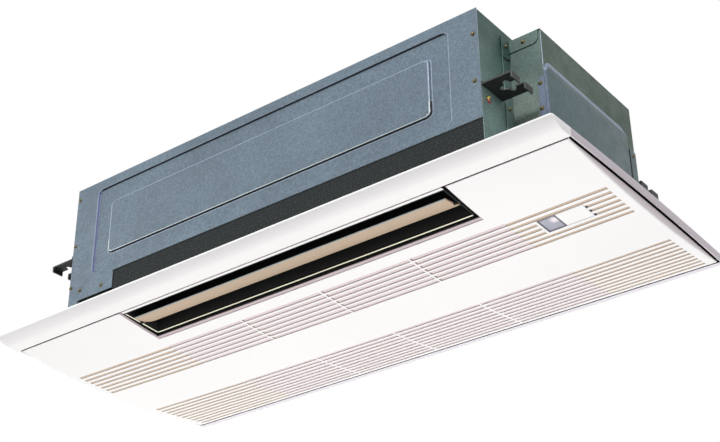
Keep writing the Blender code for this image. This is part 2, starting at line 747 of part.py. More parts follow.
def panel_frame(unit):
    """Rim, front and rear strips and a thin web with openings for the duct and the intake."""
    rim = HALF_LENGTH - RIM_WALL
    duct = (OUTLET_LEFT - GAP, OUTLET_RIGHT + GAP, OUTLET_FRONT - GAP, OUTLET_BACK + GAP)
    xs = [-HALF_LENGTH, -rim, INTAKE_LEFT, duct[0], duct[1], INTAKE_RIGHT, rim, HALF_LENGTH]
    y_lines = [-HALF_DEPTH + inset for inset, _ in FRONT_PROFILE]
    y_lines += [HALF_DEPTH - inset for inset, _ in REAR_PROFILE]
    y_lines += [SEAM_FRONT, duct[2], duct[3], INTAKE_FRONT, INTAKE_BACK, SEAM_BACK]
    ys = with_divisions(y_lines, WEB_SPACING)

    def low_of(x, y, cell_x, cell_y):
        in_duct_x = duct[0] < cell_x < duct[1]
        if in_duct_x and duct[2] < cell_y < duct[3]:
            return None
        if INTAKE_LEFT < cell_x < INTAKE_RIGHT and INTAKE_FRONT < cell_y < INTAKE_BACK:
            return None
        if cell_y < SEAM_FRONT or cell_y > SEAM_BACK:
            return rim_profile(y)
        if in_duct_x and cell_y < duct[2]:
            return -SEAM_DROP - STRIP_LIP
        if abs(cell_x) > rim:
            return -RIM_DEPTH
        return -PANEL_WEB

    frame = stepped_solid("panel_frame", xs, ys, low_of, lambda x, y: 0.0, panel_place, white_panel(), unit)
    hinge_lugs(unit, frame)


def hinge_lugs(unit, frame):
    """Two lugs under the web at each hinge, bored for its pin."""
    outline = hinge_outline(-PANEL_WEB / 2)
    bm = bmesh.new()
    for middle_x in HINGE_PLACES:
        for start in (middle_x - HINGE_LUG_END, middle_x + HINGE_LUG_START):
            add_prism(bm, outline, "X", start, start + HINGE_LUG_WIDTH)
    combine(frame, tool_object(bm, "frame_lugs", unit), "UNION")
    combine(frame, pin_holes("frame_holes", unit, (0.0, 0.0, 0.0)), "DIFFERENCE")


def hinge_outline(root_z):
    """A strap from root_z that ends in a half circle round the pin."""
    angles = np.radians(np.linspace(180.0, 360.0, HINGE_ARC_POINTS))
    radius = HINGE_KNUCKLE_RADIUS
    arc = [(HINGE_Y + radius * math.cos(t), HINGE_HEIGHT + radius * math.sin(t)) for t in angles]
    return arc + [(arc[-1][0], root_z), (arc[0][0], root_z)]


def pin_holes(name, carrier, pivot):
    bm = bmesh.new()
    outline = circle(HINGE_Y, HINGE_HEIGHT, HINGE_PIN_RADIUS + GAP, HINGE_SIDES)
    for middle_x in HINGE_PLACES:
        add_prism(bm, outline, "X", middle_x - HINGE_PIN_HALF, middle_x + HINGE_PIN_HALF)
    return tool_object(bm, name, carrier, pivot)


def hinge_pins(unit):
    outline = circle(HINGE_Y, HINGE_HEIGHT, HINGE_PIN_RADIUS, HINGE_SIDES)
    for name, middle_x in zip(("left", "right"), HINGE_PLACES):
        start = middle_x - HINGE_PIN_HALF
        prism("hinge_pin_" + name, outline, "X", start, start + 2 * HINGE_PIN_HALF, zinc_sheet(), unit)


def lug_notches(grille, axis, pivot):
    """Openings in the back edge of the grille for the frame's lugs, with a bored knuckle between two."""
    bm = bmesh.new()
    low = (HINGE_Y - HINGE_KNUCKLE_RADIUS - HINGE_NOTCH_ROOM, crown(0.0, 0.0))
    high = (GRILLE_BACK + HINGE_SWEEP, 0.0)
    for middle_x in HINGE_PLACES:
        near = HINGE_LUG_START - GAP
        far = HINGE_LUG_END + HINGE_NOTCH_ROOM
        for start, end in ((middle_x - far, middle_x - near), (middle_x + near, middle_x + far)):
            add_box(bm, (start, *low), (end, *high))
    combine(grille, tool_object(bm, "grille_notches", axis, pivot), "DIFFERENCE")
    bm = bmesh.new()
    outline = circle(HINGE_Y, HINGE_HEIGHT, HINGE_KNUCKLE_RADIUS)
    for middle_x in HINGE_PLACES:
        start = middle_x - HINGE_KNUCKLE_WIDTH / 2
        add_prism(bm, outline, "X", start, start + HINGE_KNUCKLE_WIDTH)
    combine(grille, tool_object(bm, "grille_knuckles", axis, pivot), "UNION")
    combine(grille, pin_holes("grille_holes", axis, pivot), "DIFFERENCE")


def slot_rows():
    """Lower and upper Y of each row of slots."""
    first = [FIRST_BAND_Y + row * FIRST_BAND_PITCH for row in range(FIRST_BAND_ROWS)]
    second = [SECOND_BAND_Y + row * SECOND_BAND_PITCH for row in range(SECOND_BAND_ROWS)]
    return [(middle - SLOT_WIDTH / 2, middle + SLOT_WIDTH / 2) for middle in first + second]


def slot_columns():
    """Left and right X of each slot in a row, between the ribs."""
    pairs = zip(SLOT_ENDS_X, SLOT_ENDS_X[1:])
    return [(start + SLOT_RIB / 2, end - SLOT_RIB / 2) for start, end in pairs]


def intake_grille(unit):
    """Crowned shell with turned-up edges, a notch round the outlet, slots and hinge knuckles."""
    pivot = (0.0, HINGE_Y, HINGE_HEIGHT)
    axis = empty("grille_axis", pivot, unit)
    notch = (OUTLET_LEFT - CLEARANCE, OUTLET_RIGHT + CLEARANCE, OUTLET_BACK + CLEARANCE)
    sheet = GRILLE_SHEET
    rows = slot_rows()
    columns = slot_columns()
    plate = (WINDOW_LEFT - GAP, PLATE_RIGHT + GAP, PLATE_FRONT - GAP, PLATE_BACK + GAP)
    x_lines = [-GRILLE_END, -GRILLE_END + sheet, GRILLE_END - sheet, GRILLE_END, notch[0], notch[0] - sheet,
               notch[1], notch[1] + sheet, plate[0], plate[1]]
    x_lines += [end for column in columns for end in column]
    y_lines = [GRILLE_FRONT, GRILLE_FRONT + sheet, notch[2], notch[2] + sheet, GRILLE_BACK - sheet,
               GRILLE_BACK, plate[2], plate[3]]
    y_lines += [end for row in rows for end in row]
    xs = with_divisions(x_lines, GRID_LENGTH)
    ys = with_divisions(y_lines, GRID_DEPTH)

    def in_slot(x, y):
        return any(a < x < b for a, b in columns) and any(a < y < b for a, b in rows)

    def in_plate(x, y):
        return plate[0] < x < plate[1] and plate[2] < y < plate[3]

    def outside(x, y):
        return notch[0] < x < notch[1] and y < notch[2]

    def at_edge(x, y):
        if abs(x) > GRILLE_END - sheet or y < GRILLE_FRONT + sheet or y > GRILLE_BACK - sheet:
            return True
        return notch[0] - sheet < x < notch[1] + sheet and y < notch[2] + sheet

    def height(x, y, cell_x, cell_y):
        if in_slot(cell_x, cell_y) or in_plate(cell_x, cell_y) or outside(cell_x, cell_y):
            return None
        return -GRILLE_EDGE_TOP if at_edge(cell_x, cell_y) else -crown(x, y) - sheet

    def place(x, y, z):
        return panel_place(x, y, -z)

    made = stepped_solid("intake_grille", xs, ys, height, lambda x, y: -crown(x, y), place, white_panel(),
                         axis, pivot)
    lug_notches(made, axis, pivot)
    receiver(axis, pivot)
    filters(axis, pivot)


def crowned_block(name, bounds, low_offset, high_offset, finish, carrier, pivot):
    """A block between two copies of the grille's crown."""
    left, right, front, back = bounds
    xs = with_divisions([left, right], PLATE_GRID_LENGTH)
    ys = with_divisions([front, back], PLATE_GRID_DEPTH)

    def low_of(x, y, cell_x, cell_y):
        return crown(x, y) + low_offset

    return stepped_solid(name, xs, ys, low_of, lambda x, y: crown(x, y) + high_offset, panel_place, finish,
                         carrier, pivot)


def receiver(axis, pivot):
    """Signal window and blank plate, set flush in the grille."""
    bounds = (WINDOW_LEFT, WINDOW_RIGHT - GAP / 2, PLATE_FRONT, PLATE_BACK)
    crowned_block("receiver_window", bounds, 0.0, GRILLE_SHEET, grey_window(), axis, pivot)
    bounds = (WINDOW_RIGHT + GAP / 2, PLATE_RIGHT, PLATE_FRONT, PLATE_BACK)
    crowned_block("receiver_plate", bounds, 0.0, GRILLE_SHEET, white_panel(), axis, pivot)


def filters(axis, pivot):
    """Two filter sheets that meet at a rib, on frames that stand on the inside of the grille."""
    front = FIRST_BAND_Y - SLOT_WIDTH / 2 - FILTER_FRAME
    back = GRILLE_BACK - GRILLE_SHEET - GAP
    left = SLOT_ENDS_X[0] + SLOT_RIB / 2 - FILTER_FRAME
    right = SLOT_ENDS_X[-1] - SLOT_RIB / 2 + FILTER_FRAME
    edge = FILTER_FRAME
    half_rib = SLOT_RIB / 2
    ends = (left, FILTER_SPLIT - GAP / 2)
    inner_ends = (left + edge, FILTER_SPLIT - half_rib)
    filter_sheet("air_filter_left", ends, inner_ends, (front, back), axis, pivot)
    ends = (FILTER_SPLIT + GAP / 2, right)
    inner_ends = (FILTER_SPLIT + half_rib, right - edge)
    filter_sheet("air_filter_right", ends, inner_ends, (front, back), axis, pivot)


def filter_sheet(name, ends, inner_ends, depths, axis, pivot):
    """A sheet whose rim reaches down to the grille, round a field that stays above it.

    Towards the hinges the sheet comes down, so that it stays clear of the frame's web.
    """
    front, back = depths
    inner_front = front + FILTER_FRAME
    inner_back = back - FILTER_BACK_FRAME
    xs = with_divisions([*ends, *inner_ends], GRID_LENGTH)
    ys = with_divisions([front, inner_front, inner_back, back], GRID_DEPTH)

    def high_of(x, y):
        return min(crown(x, y) + GRILLE_SHEET + FILTER_RISE + FILTER_SHEET, -PANEL_WEB - CLEARANCE)

    def low_of(x, y, cell_x, cell_y):
        inside = inner_ends[0] < cell_x < inner_ends[1] and inner_front < cell_y < inner_back
        return high_of(x, y) - FILTER_SHEET if inside else crown(x, y) + GRILLE_SHEET + GAP

    stepped_solid(name, xs, ys, low_of, high_of, panel_place, filter_mesh(), axis, pivot)


def pipe_ends(unit):
    """Short ends of the gas, liquid and drain pipes on the left end wall."""
    ends = (
        ("gas_pipe_end", GAS_PIPE_PLACE, GAS_PIPE_RADIUS, copper_tube()),
        ("liquid_pipe_end", LIQUID_PIPE_PLACE, LIQUID_PIPE_RADIUS, copper_tube()),
        ("drain_pipe_end", DRAIN_PIPE_PLACE, DRAIN_PIPE_RADIUS, dark_plastic()),
    )
    start = CASE_LEFT - GAP - PIPE_LENGTH
    for name, place, radius, finish in ends:
        prism(name, circle(*place, radius), "X", start, start + PIPE_LENGTH, finish, unit)


def main():
    clear_scene()
    hanging_point = (CASE_RIGHT + HANGER_SEAT_REACH, HANGER_FRONT_Y, HANGER_HEIGHT)
    unit = empty("unit", [-value for value in hanging_point])
    front_wall(unit)
    rear_wall(unit)
    top_cover(unit)
    end_walls(unit)
    insulation(unit)
    drain_pan(unit)
    fan_deck(unit)
    electrical_box(unit)
    hangers(unit)
    outlet_duct(unit)
    air_vane(unit)
    panel_frame(unit)
    hinge_pins(unit)
    intake_grille(unit)
    pipe_ends(unit)
    bpy.context.view_layer.update()


main()
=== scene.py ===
"""Looks of a variable refrigerant flow indoor unit, a one-way ceiling cassette seen from below.

Every piece is laid out in the unit's own axes: X along the unit, Y from the outlet to the back,
Z up, from the middle of the panel at the ceiling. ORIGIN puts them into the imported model's frame.
"""
import math

import bmesh
import bpy
import numpy as np
from bpy.props import FloatProperty, FloatVectorProperty, PointerProperty
from bpy.types import Operator, Panel, PropertyGroup
from mathutils import Matrix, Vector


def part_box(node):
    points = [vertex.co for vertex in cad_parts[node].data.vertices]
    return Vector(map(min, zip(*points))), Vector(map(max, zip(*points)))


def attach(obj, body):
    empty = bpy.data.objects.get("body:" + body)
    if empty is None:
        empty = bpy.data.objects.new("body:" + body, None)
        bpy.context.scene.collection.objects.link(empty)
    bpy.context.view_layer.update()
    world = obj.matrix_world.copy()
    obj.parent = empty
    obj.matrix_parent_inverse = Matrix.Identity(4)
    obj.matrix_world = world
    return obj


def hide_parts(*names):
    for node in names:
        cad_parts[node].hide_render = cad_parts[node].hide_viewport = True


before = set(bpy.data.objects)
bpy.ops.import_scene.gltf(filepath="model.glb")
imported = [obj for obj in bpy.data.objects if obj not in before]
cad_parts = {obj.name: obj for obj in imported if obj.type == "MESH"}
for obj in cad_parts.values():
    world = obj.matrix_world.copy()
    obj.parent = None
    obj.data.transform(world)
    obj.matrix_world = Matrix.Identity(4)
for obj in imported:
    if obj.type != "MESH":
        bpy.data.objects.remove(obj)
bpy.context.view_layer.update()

bl_info = {
    "name": "Ceiling Cassette Indoor Unit",
    "version": (1, 0, 0),
    "blender": (4, 5, 0),
    "location": "3D View > Sidebar > Indoor Unit",
    "description": "Sheet metal casing, moulded panel, slotted intake grille and air vane of a cassette",
    "category": "Object",
}

# The unit's axes: middle of the panel at the ceiling
PANEL_LOW, PANEL_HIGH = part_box("panel_frame")
ORIGIN = np.array([(PANEL_LOW.x + PANEL_HIGH.x) / 2, (PANEL_LOW.y + PANEL_HIGH.y) / 2, PANEL_HIGH.z])
HALF_LENGTH = round((PANEL_HIGH.x - PANEL_LOW.x) / 2, 6)
HALF_DEPTH = round((PANEL_HIGH.y - PANEL_LOW.y) / 2, 6)
# Width of the steep side of a moulded step
STEP = 0.0001


def node_box(node):
    """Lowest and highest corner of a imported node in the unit's axes."""
    low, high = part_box(node)
    return np.round(np.array(low) - ORIGIN, 6), np.round(np.array(high) - ORIGIN, 6)


def linear(red, green, blue):
    """Scene colour of a screen colour whose channels go from 0 to 255."""
    value = np.array([red, green, blue]) / 255.0
    curve = np.where(value <= 0.04045, value / 12.92, ((value + 0.055) / 1.055) ** 2.4)
    return tuple(float(channel) for channel in curve)


def colour(name, description, *screen):
    """A colour setting whose default is a screen colour."""
    return FloatVectorProperty(name=name, description=description, subtype="COLOR", size=3, min=0.0, max=1.0,
                               default=linear(*screen))


def size(name, description, default, low=0.0, high=1.0):
    """A length setting."""
    return FloatProperty(name=name, description=description, default=default, min=low, max=high,
                         unit="LENGTH", subtype="DISTANCE", precision=4)


class IndoorUnitCasing(PropertyGroup):
    sheet: size("Sheet", "Thickness of the zinc sheet", 0.0012)
    emboss_depth: size("Emboss depth", "Depth of the sunken field of a wall", 0.003)
    emboss_slope: size("Emboss slope", "Height of the slope along a field", 0.0019)
    emboss_end_slope: size("Emboss end slope", "Width of the slope at the ends of a field", 0.0028)
    emboss_radius: size("Emboss radius", "Corner radius of a field", 0.012)
    field_side: size("Field side margin", "From the end of a wall to its sunken field", 0.047)
    field_top: size("Field top margin", "From the top of a wall to its sunken field", 0.016)
    field_foot: size("Field foot", "Height of the sunken field's lower edge", 0.065)
    inner_inset: size("Inner field inset", "From the sunken field's edge to the raised field", 0.030)
    inner_rise: size("Inner field rise", "From the sunken field's foot to the raised field", 0.026)
    edge_softness: size("Edge softness", "Rounding of a bent or cut sheet edge", 0.0005)
    screw_radius: size("Screw head radius", "Radius of a pan head screw", 0.0028)


class IndoorUnitPanel(PropertyGroup):
    rim_wall: size("Rim wall", "Thickness of the rim at the panel's ends", 0.003)
    rim_depth: size("Rim depth", "Height of the rim at the panel's ends", 0.011)
    front_strip: size("Front strip", "Depth of the strip in front of the grille", 0.042)
    rear_strip: size("Rear strip", "Depth of the strip behind the grille", 0.015)
    seam_drop: size("Seam drop", "Height of the strips below the ceiling at the seams", 0.012)
    end_crown: size("Crown at the ends", "Bulge of the grille over its depth, at its ends", 0.013)
    middle_crown: size("Extra crown in the middle", "Bulge that is added at half length", 0.005)
    bow: size("Bow of the ends", "How far the corners fall back behind the middle of an end", 0.003)
    front_seam: size("Front seam", "Gap between the front strip and the grille", 0.0030)
    end_seam: size("End seam", "Gap between the rim and the grille", 0.0032)
    rear_seam: size("Rear seam", "Gap between the rear strip and the grille", 0.0020)
    ledge: size("Rear ledge", "Width of the sunken ledge behind the outlet", 0.0052)
    side_ledge: size("Side ledge", "Width of the sunken ledge beside the outlet", 0.0020)
    front_corner: size("Front corner radius", "Corner radius of the panel at the outlet side", 0.004)
    rear_corner: size("Rear corner radius", "Corner radius of the panel at the back", 0.009)
    grille_sheet: size("Grille sheet", "Thickness of the grille", 0.0025)
    slot_width: size("Slot width", "Width of an intake slot at the grille's face", 0.0076)
    slot_gap: size("Slot gap", "Open width behind the louvre of a slot", 0.0013)
    groove_width: size("Groove width", "Width of a blind groove beside the slots", 0.0058)
    groove_depth: size("Groove depth", "Depth of a blind groove", 0.0009)
    louvre_rise: size("Louvre rise", "Depth of a louvre at its inner edge", 0.0009)


class IndoorUnitFinish(PropertyGroup):
    blue_zinc: colour("Blue zinc", "Front and rear wall", 105, 122, 135)
    green_zinc: colour("Green zinc", "Electrical box and top", 90, 110, 105)
    end_zinc: colour("End zinc", "Upper part of the casing's end walls", 54, 88, 83)
    cover_zinc: colour("Cover zinc", "End cover and strip", 88, 107, 110)
    foam: colour("Foam", "Closed-cell lining", 25, 31, 32)
    black: colour("Black coating", "Hanger brackets", 17, 20, 20)
    white: colour("White moulding", "Panel and grille", 248, 247, 247)
    # The louvre colour is a pinkish tint: painted shade on the white louvres.
    louvre: colour("Louvre", "Louvres in the intake slots", 225, 211, 211)
    # The groove colour is tan with painted shade in the grooves.
    groove: colour("Groove", "Floors of the blind grooves", 208, 190, 172)
    cream: colour("Cream moulding", "Lip of the outlet duct", 240, 236, 212)
    vane: colour("Vane", "Air vane", 190, 167, 143)
    window: colour("Window", "Signal window", 98, 101, 128)
    brass: colour("Screw", "Yellow passivated screw heads", 118, 108, 76)
    copper: colour("Copper", "Refrigerant pipe ends", 196, 120, 84)


def settings():
    """The settings of the casing, the panel and the finishes."""
    scene = bpy.context.scene
    return scene.indoor_unit_casing, scene.indoor_unit_panel, scene.indoor_unit_finish


def tone_of(name):
    """A colour of the finish settings."""
    return tuple(getattr(settings()[2], name))


# Surfaces

def grid_quads(rows, columns, wrap=False):
    """Quads between the points of a grid stored row by row; wrap joins the last column to the first."""
    numbers = np.arange(rows * columns).reshape(rows, columns)
    if wrap:
        numbers = np.column_stack([numbers, numbers[:, 0]])
    corners = [numbers[:-1, :-1], numbers[:-1, 1:], numbers[1:, 1:], numbers[1:, :-1]]
    return np.stack(corners, axis=-1).reshape(-1, 4)


def grid_lines(start, end, spacing, wanted=()):
    """Even lines from start to end plus the wanted groups, less the even ones that crowd a wanted one."""
    wanted = np.concatenate([[start, end], *(np.ravel(group) for group in wanted)])
    wanted = np.unique(np.round(wanted, 6))
    wanted = wanted[(wanted >= start - 1e-9) & (wanted <= end + 1e-9)]
    even = np.linspace(start, end, max(2, math.ceil((end - start) / spacing) + 1))
    room = np.abs(even[:, None] - wanted[None, :]).min(axis=1)
    return np.sort(np.concatenate([wanted, even[room > spacing * 0.3]]))


def edge_lines(low, high, step=STEP):
    """Lines at two edges and a step inside them, or outside them where the step is negative."""
    return np.stack([low, low + step, high - step, high])


def cell_middles(xs, ys):
    """Middles of the cells of a plan grid."""
    return np.meshgrid((xs[:-1] + xs[1:]) / 2, (ys[:-1] + ys[1:]) / 2, indexing="ij")


def in_box(x, y, box):
    """Whether points lie in a plan rectangle of (left, right, front, back)."""
    return (x > box[0]) & (x < box[1]) & (y > box[2]) & (y < box[3])


def slab(xs, ys, low, high, keep, finish=None, wall_finish=None):
    """Closed solid between two heights over the kept cells of a plan grid.

    A point is (x, y, low(x, y)) below and (x, y, high(x, y)) above. Walls stand where a kept cell has
    no kept neighbour. finish numbers the material of each cell's lower face, wall_finish its walls'.
    """
    plan_x, plan_y = np.meshgrid(xs, ys, indexing="ij")
    count = plan_x.size
    lower = np.stack([plan_x, plan_y, low], axis=-1).reshape(-1, 3)
    upper = np.stack([plan_x, plan_y, high], axis=-1).reshape(-1, 3)
    numbers = np.arange(count).reshape(plan_x.shape)
    a, b, c, d = numbers[:-1, :-1], numbers[1:, :-1], numbers[1:, 1:], numbers[:-1, 1:]
    faces = [np.stack([d, c, b, a], axis=-1)[keep], np.stack([a, b, c, d], axis=-1)[keep] + count]
    blank = np.zeros(keep.shape, int)
    finish = blank if finish is None else finish
    wall_finish = blank if wall_finish is None else wall_finish
    groups = [finish[keep], blank[keep]]
    around = np.pad(keep, 1)
    neighbours = (around[1:-1, :-2], around[2:, 1:-1], around[1:-1, 2:], around[:-2, 1:-1])
    for first, second, neighbour in zip((a, b, c, d), (b, c, d, a), neighbours):
        bare = keep & ~neighbour
        start, end = first[bare], second[bare]
        faces.append(np.stack([start, end, end + count, start + count], axis=-1))
        groups.append(wall_finish[bare])
    return np.concatenate([lower, upper]), [np.concatenate(faces)], np.concatenate(groups)


def carried(sections, finish=None, caps=(0, 0)):
    """Closed tube through an array of closed sections of equal count, with flat caps at both ends.

    finish numbers the material of each side of the section, the same all along or for each stretch, and
    caps that of the first and of the last cap.
    """
    stations, count = sections.shape[:2]
    quads = grid_quads(stations, count, wrap=True)
    lids = np.stack([np.arange(count)[::-1], np.arange(count) + (stations - 1) * count])
    sides = np.zeros(count, int) if finish is None else np.asarray(finish)
    numbers = np.concatenate([np.broadcast_to(sides, (stations - 1, count)).ravel(), caps])
    return sections.reshape(-1, 3), [quads, lids], numbers


def ring(sections, finish=None):
    """Closed tube through sections that follow a closed path, so the last one joins the first.

    finish numbers the material of each side of the section at each station.
    """
    stations, count = sections.shape[:2]
    quads = grid_quads(count + 1, stations, wrap=True) % (count * stations)
    numbers = np.zeros(len(quads), int) if finish is None else np.swapaxes(finish, 0, 1).ravel()
    return np.swapaxes(sections, 0, 1).reshape(-1, 3), [quads], numbers


def along_x(section, xs):
    """A section in Y and Z repeated at each x."""
    section = np.asarray(section, float)
    grid = np.empty((len(xs), len(section), 3))
    grid[..., 0] = np.asarray(xs)[:, None]
    grid[..., 1:] = section[None, :, :]
    return grid


def along_z(section, heights):
    """A section in X and Y repeated at each height."""
    section = np.asarray(section, float)
    grid = np.empty((len(heights), len(section), 3))
    grid[..., :2] = section[None, :, :]
    grid[..., 2] = np.asarray(heights)[:, None]
    return grid


def arc_points(centre, radius, angles):
    """Points at a radius round a centre, at angles from its first axis towards its second."""
    return np.stack([centre[0] + radius * np.cos(angles), centre[1] + radius * np.sin(angles)], axis=-1)


def bored(outer, bore, start, end):
    """Closed tube along X between an outline in Y and Z and a bore with as many points."""
    outside, within = along_x(outer, [start, end]), along_x(bore, [start, end])
    return ring(np.stack([outside[0], outside[1], within[1], within[0]], axis=1))


def rectangle(low, high):
    """Corners of a rectangle, anticlockwise from its lower left one."""
    return np.array([[low[0], low[1]], [high[0], low[1]], [high[0], high[1]], [low[0], high[1]]])


def corner_centres(low, high, radius):
    """Centres of the corner arcs of a rectangle with rounded corners."""
    return rectangle((low[0] + radius, low[1] + radius), (high[0] - radius, high[1] - radius))


def turned(profile, centre, axis, sides=20):
    """A profile of (distance along the axis, radius) turned about an axis through centre."""
    profile = np.asarray(profile, float)
    angles = np.arange(sides) * 2 * math.pi / sides
    axis = np.asarray(axis, float)
    helper = np.array([0.0, 0.0, 1.0]) if abs(axis[2]) < 0.9 else np.array([1.0, 0.0, 0.0])
    side = np.cross(axis, helper)
    side /= np.linalg.norm(side)
    other = np.cross(axis, side)
    circle = np.cos(angles)[:, None] * side + np.sin(angles)[:, None] * other
    points = profile[:, None, :1] * axis + profile[:, None, 1:] * circle[None]
    return points + np.asarray(centre, float)


def rounded_box(low, high, radius, steps=4):
    """Corner arcs of a rectangle, anticlockwise from its lower left corner."""
    starts = np.array([180.0, 270.0, 0.0, 90.0])
    angles = np.radians(starts[:, None] + np.linspace(0.0, 90.0, steps)[None, :])
    arcs = np.stack([np.cos(angles), np.sin(angles)], axis=-1) * radius
    return (corner_centres(low, high, radius)[:, None, :] + arcs).reshape(-1, 2)


def field_distance(a, b, low, high, radius):
    """Distance inside a rectangle with rounded corners, negative outside it."""
    middle = ((low[0] + high[0]) / 2, (low[1] + high[1]) / 2)
    out_a = np.abs(a - middle[0]) - ((high[0] - low[0]) / 2 - radius)
    out_b = np.abs(b - middle[1]) - ((high[1] - low[1]) / 2 - radius)
    outside = np.hypot(np.maximum(out_a, 0.0), np.maximum(out_b, 0.0))
    return radius - outside - np.minimum(np.maximum(out_a, out_b), 0.0)


def smooth_step(value):
    """0 up to 0, 1 from 1 on, and level at both."""
    value = np.clip(value, 0.0, 1.0)
    return value * value * (3 - 2 * value)


def new_object(name, data):
    """An object that is linked to the scene."""
    made = bpy.data.objects.new(name, data)
    bpy.context.scene.collection.objects.link(made)
    return made


def piece(name, parts, finishes, body, slot, nodes=(), sharp=35.0):
    """An object from parts laid out in the unit's axes, that rides on a body and stands for nodes."""
    points, faces, numbers = [], [], []
    start = 0
    for part_points, part_faces, part_numbers in parts:
        points.append(part_points)
        for group in part_faces:
            faces += (group + start).tolist()
        numbers.append(part_numbers)
        start += len(part_points)
    mesh = bpy.data.meshes.new(name)
    mesh.from_pydata((np.concatenate(points) + ORIGIN).tolist(), [], faces)
    mesh.polygons.foreach_set("material_index", np.concatenate(numbers).astype(np.int32))
    shape = bmesh.new()
    shape.from_mesh(mesh)
    bmesh.ops.delete(shape, geom=[vert for vert in shape.verts if not vert.link_faces], context="VERTS")
    bmesh.ops.remove_doubles(shape, verts=shape.verts, dist=1e-6)
    bmesh.ops.recalc_face_normals(shape, faces=shape.faces)
    shape.to_mesh(mesh)
    shape.free()
    return set_piece(name, mesh, finishes, body, slot, nodes, sharp)


def set_piece(name, mesh, finishes, body, slot, nodes, sharp):
    """A linked object with its finishes and smooth shading, that rides on a body and stands for nodes."""
    for finish in finishes:
        mesh.materials.append(finish)
    mesh.polygons.foreach_set("use_smooth", np.ones(len(mesh.polygons), bool))
    mesh.set_sharp_from_angle(angle=math.radians(sharp))
    made = new_object(name, mesh)
    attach(made, body)
    if nodes:
        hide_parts(*nodes)
    return made


def softened(name, node, finishes, body, slot, width):
    """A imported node's shape with merged faces and rounded edges; a second finish is for those edges."""
    shape = bmesh.new()
    shape.from_mesh(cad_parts[node].data)
    bmesh.ops.remove_doubles(shape, verts=shape.verts, dist=1e-6)
    bmesh.ops.dissolve_limit(shape, angle_limit=math.radians(0.5), verts=shape.verts, edges=shape.edges)
    mesh = bpy.data.meshes.new(name)
    shape.to_mesh(mesh)
    shape.free()
    mesh.polygons.foreach_set("material_index", np.zeros(len(mesh.polygons), np.int32))
    made = set_piece(name, mesh, finishes, body, slot, (node,), 35.0)
    soften(made, width)
    made.modifiers["soft edges"].material = len(finishes) - 1
    return made


def soften(made, width):
    """Rounds the sharp edges of an object to a width."""
    edge = made.modifiers.new("soft edges", "BEVEL")
    edge.width = width
    edge.segments = 2
    edge.limit_method = "ANGLE"
    edge.angle_limit = math.radians(40.0)
    edge.harden_normals = True


# Finishes

def painted(name, roughness, paint, metallic=0.0):
    """The finish of that name; paint(tree, shader) fills it the first time that it is asked for."""
    made = bpy.data.materials.get(name)
    if made is None:
        made = bpy.data.materials.new(name)
        made.use_nodes = True
        shader = made.node_tree.nodes["Principled BSDF"]
        shader.inputs["Roughness"].default_value = roughness
        shader.inputs["Metallic"].default_value = metallic
        paint(made.node_tree, shader)
    return made


def add_node(tree, kind, **values):
    """A node with the given inputs, or settings where no input has that name."""
    node = tree.nodes.new(kind)
    for name, value in values.items():
        if hasattr(node, name) and name not in node.inputs:
            setattr(node, name, value)
        else:
            node.inputs[name].default_value = value
    return node


def feed(tree, socket, value):
    """Links a socket to another one, or sets it to a number or a colour."""
    if isinstance(value, bpy.types.NodeSocket):
        tree.links.new(value, socket)
    elif isinstance(value, float):
        socket.default_value = value
    else:
        socket.default_value = (*value, 1.0)


def place_of(tree):
    """Object coordinates, shared by the patterns of one finish."""
    found = tree.nodes.get("place")
    if found is None:
        found = tree.nodes.new("ShaderNodeTexCoord")
        found.name = "place"
    return found.outputs["Object"]


def noise(tree, scale, detail=3.0, roughness=0.5):
    """An even noise pattern."""
    made = add_node(tree, "ShaderNodeTexNoise", Scale=scale, Detail=detail, Roughness=roughness)
    tree.links.new(place_of(tree), made.inputs["Vector"])
    return made.outputs["Fac"]


def spangle(tree, scale):
    """A grey level that is the same within each crystal of the zinc."""
    made = add_node(tree, "ShaderNodeTexVoronoi", Scale=scale)
    tree.links.new(place_of(tree), made.inputs["Vector"])
    level = tree.nodes.new("ShaderNodeSeparateColor")
    tree.links.new(made.outputs["Color"], level.inputs["Color"])
    return level.outputs["Red"]


def banded(tree, value, stops):
    """A colour for each level of a pattern; stops are (level, colour)."""
    made = tree.nodes.new("ShaderNodeValToRGB")
    ramp = made.color_ramp
    while len(ramp.elements) < len(stops):
        ramp.elements.new(0.5)
    for element, (level, tone) in zip(ramp.elements, stops):
        element.position = level
        element.color = (*tone, 1.0)
    tree.links.new(value, made.inputs["Fac"])
    return made.outputs["Color"]


def blended(tree, share, first, second, mode="MIX"):
    """Two colours mixed by a share; each is a socket or a colour."""
    made = tree.nodes.new("ShaderNodeMix")
    made.data_type = "RGBA"
    made.blend_type = mode
    for socket, value in ((made.inputs[0], share), (made.inputs[6], first), (made.inputs[7], second)):
        feed(tree, socket, value)
    return made.outputs[2]


def combined(tree, operation, first, second):
    """Result of a Math node; each value is a socket or a number."""
    made = tree.nodes.new("ShaderNodeMath")
    made.operation = operation
    feed(tree, made.inputs[0], first)
    feed(tree, made.inputs[1], second)
    return made.outputs["Value"]


def mapped(tree, value, source, target):
    """A value carried from one range to another and held at its ends."""
    made = tree.nodes.new("ShaderNodeMapRange")
    for name, limit in zip(("From Min", "From Max", "To Min", "To Max"), (*source, *target)):
        made.inputs[name].default_value = limit
    tree.links.new(value, made.inputs["Value"])
    return made.outputs["Result"]


def spread(tree, value, low, high):
    """A pattern's level carried to a range."""
    return mapped(tree, value, (0.3, 0.7), (low, high))


def bumped(tree, shader, value, distance):
    """Gives a shader a relief of that depth."""
    made = add_node(tree, "ShaderNodeBump", Strength=1.0, Distance=distance)
    tree.links.new(value, made.inputs["Height"])
    tree.links.new(made.outputs["Normal"], shader.inputs["Normal"])


def scaled(tone, factor):
    """A colour made paler or darker by a factor."""
    return tuple(min(1.0, channel * factor) for channel in tone)


